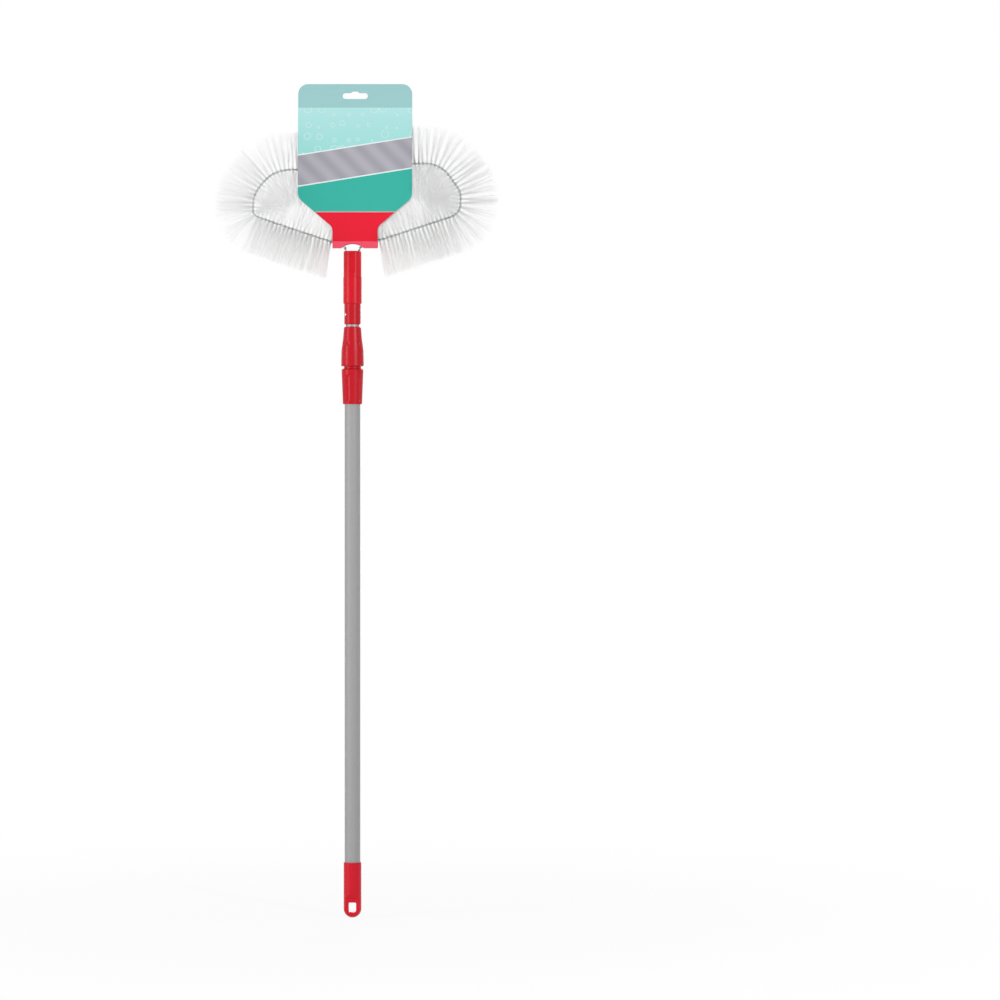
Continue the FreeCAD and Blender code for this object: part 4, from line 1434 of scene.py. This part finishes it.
        # A filament that nearly faces the front or the back needs another helper direction.
        steep = 0.8
        helper = np.where(np.abs(heading[:, 1:2]) > steep, [[1.0, 0, 0]], [[0, 1.0, 0]])
        first = unit(np.cross(heading, helper))
        second = np.cross(heading, first)
        radii = np.linspace(self.root, self.tip, self.rings)
        turns = np.linspace(0, 2 * math.pi, self.sides, endpoint=False)
        ring = np.stack([math.cos(a) * first + math.sin(a) * second for a in turns], axis=1)
        points = lines[:, :, None] + radii[None, :, None, None] * ring[:, None]
        size = self.rings * self.sides
        pattern = [tuple(reversed(range(self.sides))), tuple(range(size - self.sides, size))]
        pattern += hoops(self.rings, self.sides)
        starts = range(0, count * size, size)
        faces = [tuple(start + corner for corner in face) for start in starts for face in pattern]
        return points.reshape(-1, 3), faces


@dataclass(frozen=True)
class Softbox:
    """A rectangular lamp behind a diffuser.

    Attributes:
        name: The lamp's name.
        place: Where it hangs.
        width: Its width.
        height: Its height.
        power: Its power in watts.
    """

    name: str
    place: tuple[float, float, float]
    width: float
    height: float
    power: float

    def hang(self, target: Vector) -> None:
        """Hang the lamp and turn it to a target.

        Args:
            target: The point that it shines at.
        """
        light = bpy.data.lights.new(self.name, "AREA")
        light.shape = "RECTANGLE"
        light.size = self.width
        light.size_y = self.height
        light.energy = self.power
        lamp = bpy.data.objects.new(self.name, light)
        lamp.location = self.place
        lamp.rotation_euler = (target - lamp.location).to_track_quat("-Z", "Y").to_euler()
        bpy.context.scene.collection.objects.link(lamp)


@dataclass(frozen=True)
class Studio:
    """Plain soft light, a pale floor and a camera square to the brush.

    Attributes:
        lamps: The softboxes.
        camera_place: Where the camera stands.
        frame_width: How much of the brush's plane the picture shows across.
        sensor_mm: The width of the camera's sensor.
        ambient: The strength of the light from all round.
        floor_reach: How far the floor goes to each side.
        shadow_reach: How far from the brush its shadow can be seen.
        shadow_share: How much of the floor's own shade shows under the brush.
    """

    lamps: tuple[Softbox, ...] = (
        Softbox("key_softbox", (-2.15, -1.25, 0.72), width=0.5, height=2.2, power=34.0),
        Softbox("fill_softbox", (1.46, -1.9, 1.2), width=0.25, height=0.35, power=24.0),
        Softbox("back_softbox", (0.2, 2.6, 1.2), width=0.8, height=1.8, power=28.0),
    )
    camera_place: tuple[float, float, float] = (0.1888, -4.0, 0.4634)
    frame_width: float = 1.28
    sensor_mm: float = 36.0
    ambient: float = 0.3
    floor_reach: float = 30.0
    shadow_reach: float = 1.2
    shadow_share: float = 0.1

    def build(self) -> None:
        """Set up the world, the lamps, the floor and the camera."""
        low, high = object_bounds()
        self.world()
        self.floor(low.z)
        for lamp in self.lamps:
            lamp.hang((low + high) / 2)
        self.camera()
        bpy.context.scene.view_settings.view_transform = "Standard"

    def seen(self, tree: Tree) -> Socket:
        """Tell camera, mirror and see-through rays from those that light the brush.

        Args:
            tree: The node tree that asks.

        Returns:
            A socket that is 1 for rays that show the background.
        """
        rays = node(tree, "ShaderNodeLightPath").outputs
        seen = rays["Is Camera Ray"]
        for other in ("Is Glossy Ray", "Is Transmission Ray"):
            seen = node(tree, "ShaderNodeMath", {0: seen, 1: rays[other]}, operation="MAXIMUM").outputs[0]
        return seen

    def world(self) -> None:
        """Light the brush softly from all round before a white background."""
        world = bpy.data.worlds.new("studio")
        bpy.context.scene.world = world
        world.use_nodes = True
        tree = world.node_tree
        tree.nodes.clear()
        white = linear("#FFFFFF")
        soft = node(tree, "ShaderNodeBackground", {"Color": white, "Strength": self.ambient})
        bright = node(tree, "ShaderNodeBackground", {"Color": white, "Strength": 1.0})
        inputs = {0: self.seen(tree), 1: soft.outputs[0], 2: bright.outputs[0]}
        mixed = node(tree, "ShaderNodeMixShader", inputs)
        node(tree, "ShaderNodeOutputWorld", {"Surface": mixed.outputs[0]})

    def floor(self, level: float) -> None:
        """Lay a pale floor under the brush, whose shadow fades into the white background.

        Args:
            level: The height of the brush's lowest point.
        """
        gap = 0.3 * MM
        reach = self.floor_reach
        signs = ((-1, -1), (1, -1), (1, 1), (-1, 1))
        corners = np.array([(x * reach, y * reach, level - gap) for x, y in signs])
        paint = bpy.data.materials.new("matt_white_floor_paint")
        paint.use_nodes = True
        tree = paint.node_tree
        tree.nodes.clear()
        place = node(tree, "ShaderNodeTexCoord").outputs["Object"]
        away = node(tree, "ShaderNodeVectorMath", {0: place}, operation="LENGTH").outputs["Value"]
        inputs = {"Value": away, "From Max": self.shadow_reach, "To Min": 1 - self.shadow_share}
        fade = node(tree, "ShaderNodeMapRange", inputs, interpolation_type="SMOOTHERSTEP")
        inputs = {0: self.seen(tree), 1: fade.outputs["Result"]}
        share = node(tree, "ShaderNodeMath", inputs, operation="MULTIPLY")
        matt = node(tree, "ShaderNodeBsdfDiffuse", {"Color": linear("#FAFAFA")})
        glow = node(tree, "ShaderNodeEmission", {"Color": linear("#FFFFFF"), "Strength": 1.0})
        inputs = {0: share.outputs[0], 1: matt.outputs[0], 2: glow.outputs[0]}
        mixed = node(tree, "ShaderNodeMixShader", inputs)
        node(tree, "ShaderNodeOutputMaterial", {"Surface": mixed.outputs[0]})
        mesh_piece("floor", corners, [(0, 1, 2, 3)], [paint], sharp_deg=30)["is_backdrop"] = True

    def camera(self) -> None:
        """Stand the camera square to the brush, with the photograph's framing."""
        lens = bpy.data.cameras.new("camera")
        lens.sensor_width = self.sensor_mm
        lens.lens = self.sensor_mm * -self.camera_place[1] / self.frame_width
        camera = bpy.data.objects.new("camera", lens)
        camera.location = self.camera_place
        camera.rotation_euler = (math.pi / 2, 0.0, 0.0)
        bpy.context.scene.collection.objects.link(camera)
        bpy.context.scene.camera = camera


def dress(nodes: dict[str, bpy.types.Object], names: list[str], finish: Finish) -> None:
    """Give solids that keep their shape a finish.

    Args:
        nodes: The solids' objects by name.
        names: The solids to dress.
        finish: Their finish.
    """
    material = finish.material()
    for name in names:
        mesh = nodes[name].data
        mesh.materials.clear()
        mesh.materials.append(material)
        LOG.info("%s: %s", name, finish.name)


def main() -> None:
    """Build the brush's looks in order and report each piece."""
    logging.basicConfig(level=logging.INFO, format="%(message)s")
    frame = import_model()
    nodes = frame["nodes"]
    # One red plastic in three tones: the socket and the end cap are painted a lighter red than the pole's
    # pieces, as painted light for the brighter light on the socket and for the light that falls off towards
    # the cap.
    painted_light_reds = [
        ("head", "#DC1428", "#D21226", ["brush_socket"]),
        ("pole", "#CC1424", "#C21222", ["lock_base", "twist_nut", "threaded_tip"]),
        ("cap", "#DC182E", "#D2162A", ["end_cap"]),
    ]
    for painted_light_group, colour, shade, names in painted_light_reds:
        name = f"moulded_red_polypropylene_{painted_light_group}"
        dress(nodes, names, MouldedPolypropylene(name, colour, shade, roughness=0.34, specular=0.2))
    natural = MouldedPolypropylene("moulded_natural_polypropylene", "#E4E2DA", "#DAD8D0", roughness=0.45)
    dress(nodes, ["clamp_ring", "inner_plug", "guide_ring"], natural)
    coat = PowderCoatedSteel("powder_coated_steel", "#A8A8A8", "#A2A2A2", roughness=0.42, specular=0.35)
    Tube("outer_tube", "coated_tube", Body.HANDLE, "coated_steel", wall=0.6 * MM).build(coat)
    # The bare steel is painted a dull pinkish grey: a painted reflection of the red plastic round it, and
    # painted shade in the narrow gaps where it shows.
    drawn = DrawnSteel("drawn_steel_painted_pink_reflection", "#A39A99", "#938A89", roughness=0.55, wander=0.1, metallic=1.0)
    Tube("inner_tube", "sliding_tube", Body.INNER_POLE, "bare_steel", wall=0.5 * MM).build(drawn)
    nickel = DrawnSteel(
        "nickel_plated_steel", "#DCDDDD", "#CFD0D1", roughness=0.25, wander=0.08, metallic=1.0
    )
    HollowRivet().build(nickel)
    wire = WireLoop()
    zinc = GalvanisedWire(
        "galvanised_iron_wire", "#B0B2B2", "#CACCCC", roughness=0.4, wander=0.12, metallic=1.0
    )
    wire.build(zinc)
    card = CardSleeve()
    board = RawBoard("unprinted_boxboard", "#EDF3F1", "#DDE6E3", roughness=0.75)
    ink = PrintedBoard(
        name="printed_boxboard",
        colour="#9FE0DC",
        # The paler shade is painted light at the aqua field's head.
        shade="#B9ECEA",
        roughness=0.4,
        wander=0.04,
        specular=0.2,
        tooth=0.15,
        fold=card.fold,
        middle=card.middle,
    )
    card.build(ink, board)
    filament = ExtrudedFilament(
        "extruded_clear_filament", "#FBFBFA", "#F4F5F5", roughness=0.34, wander=0.08
    )
    Bristle().build(wire, card, filament)
    Studio().build()


if __name__ == "__main__":
    main()
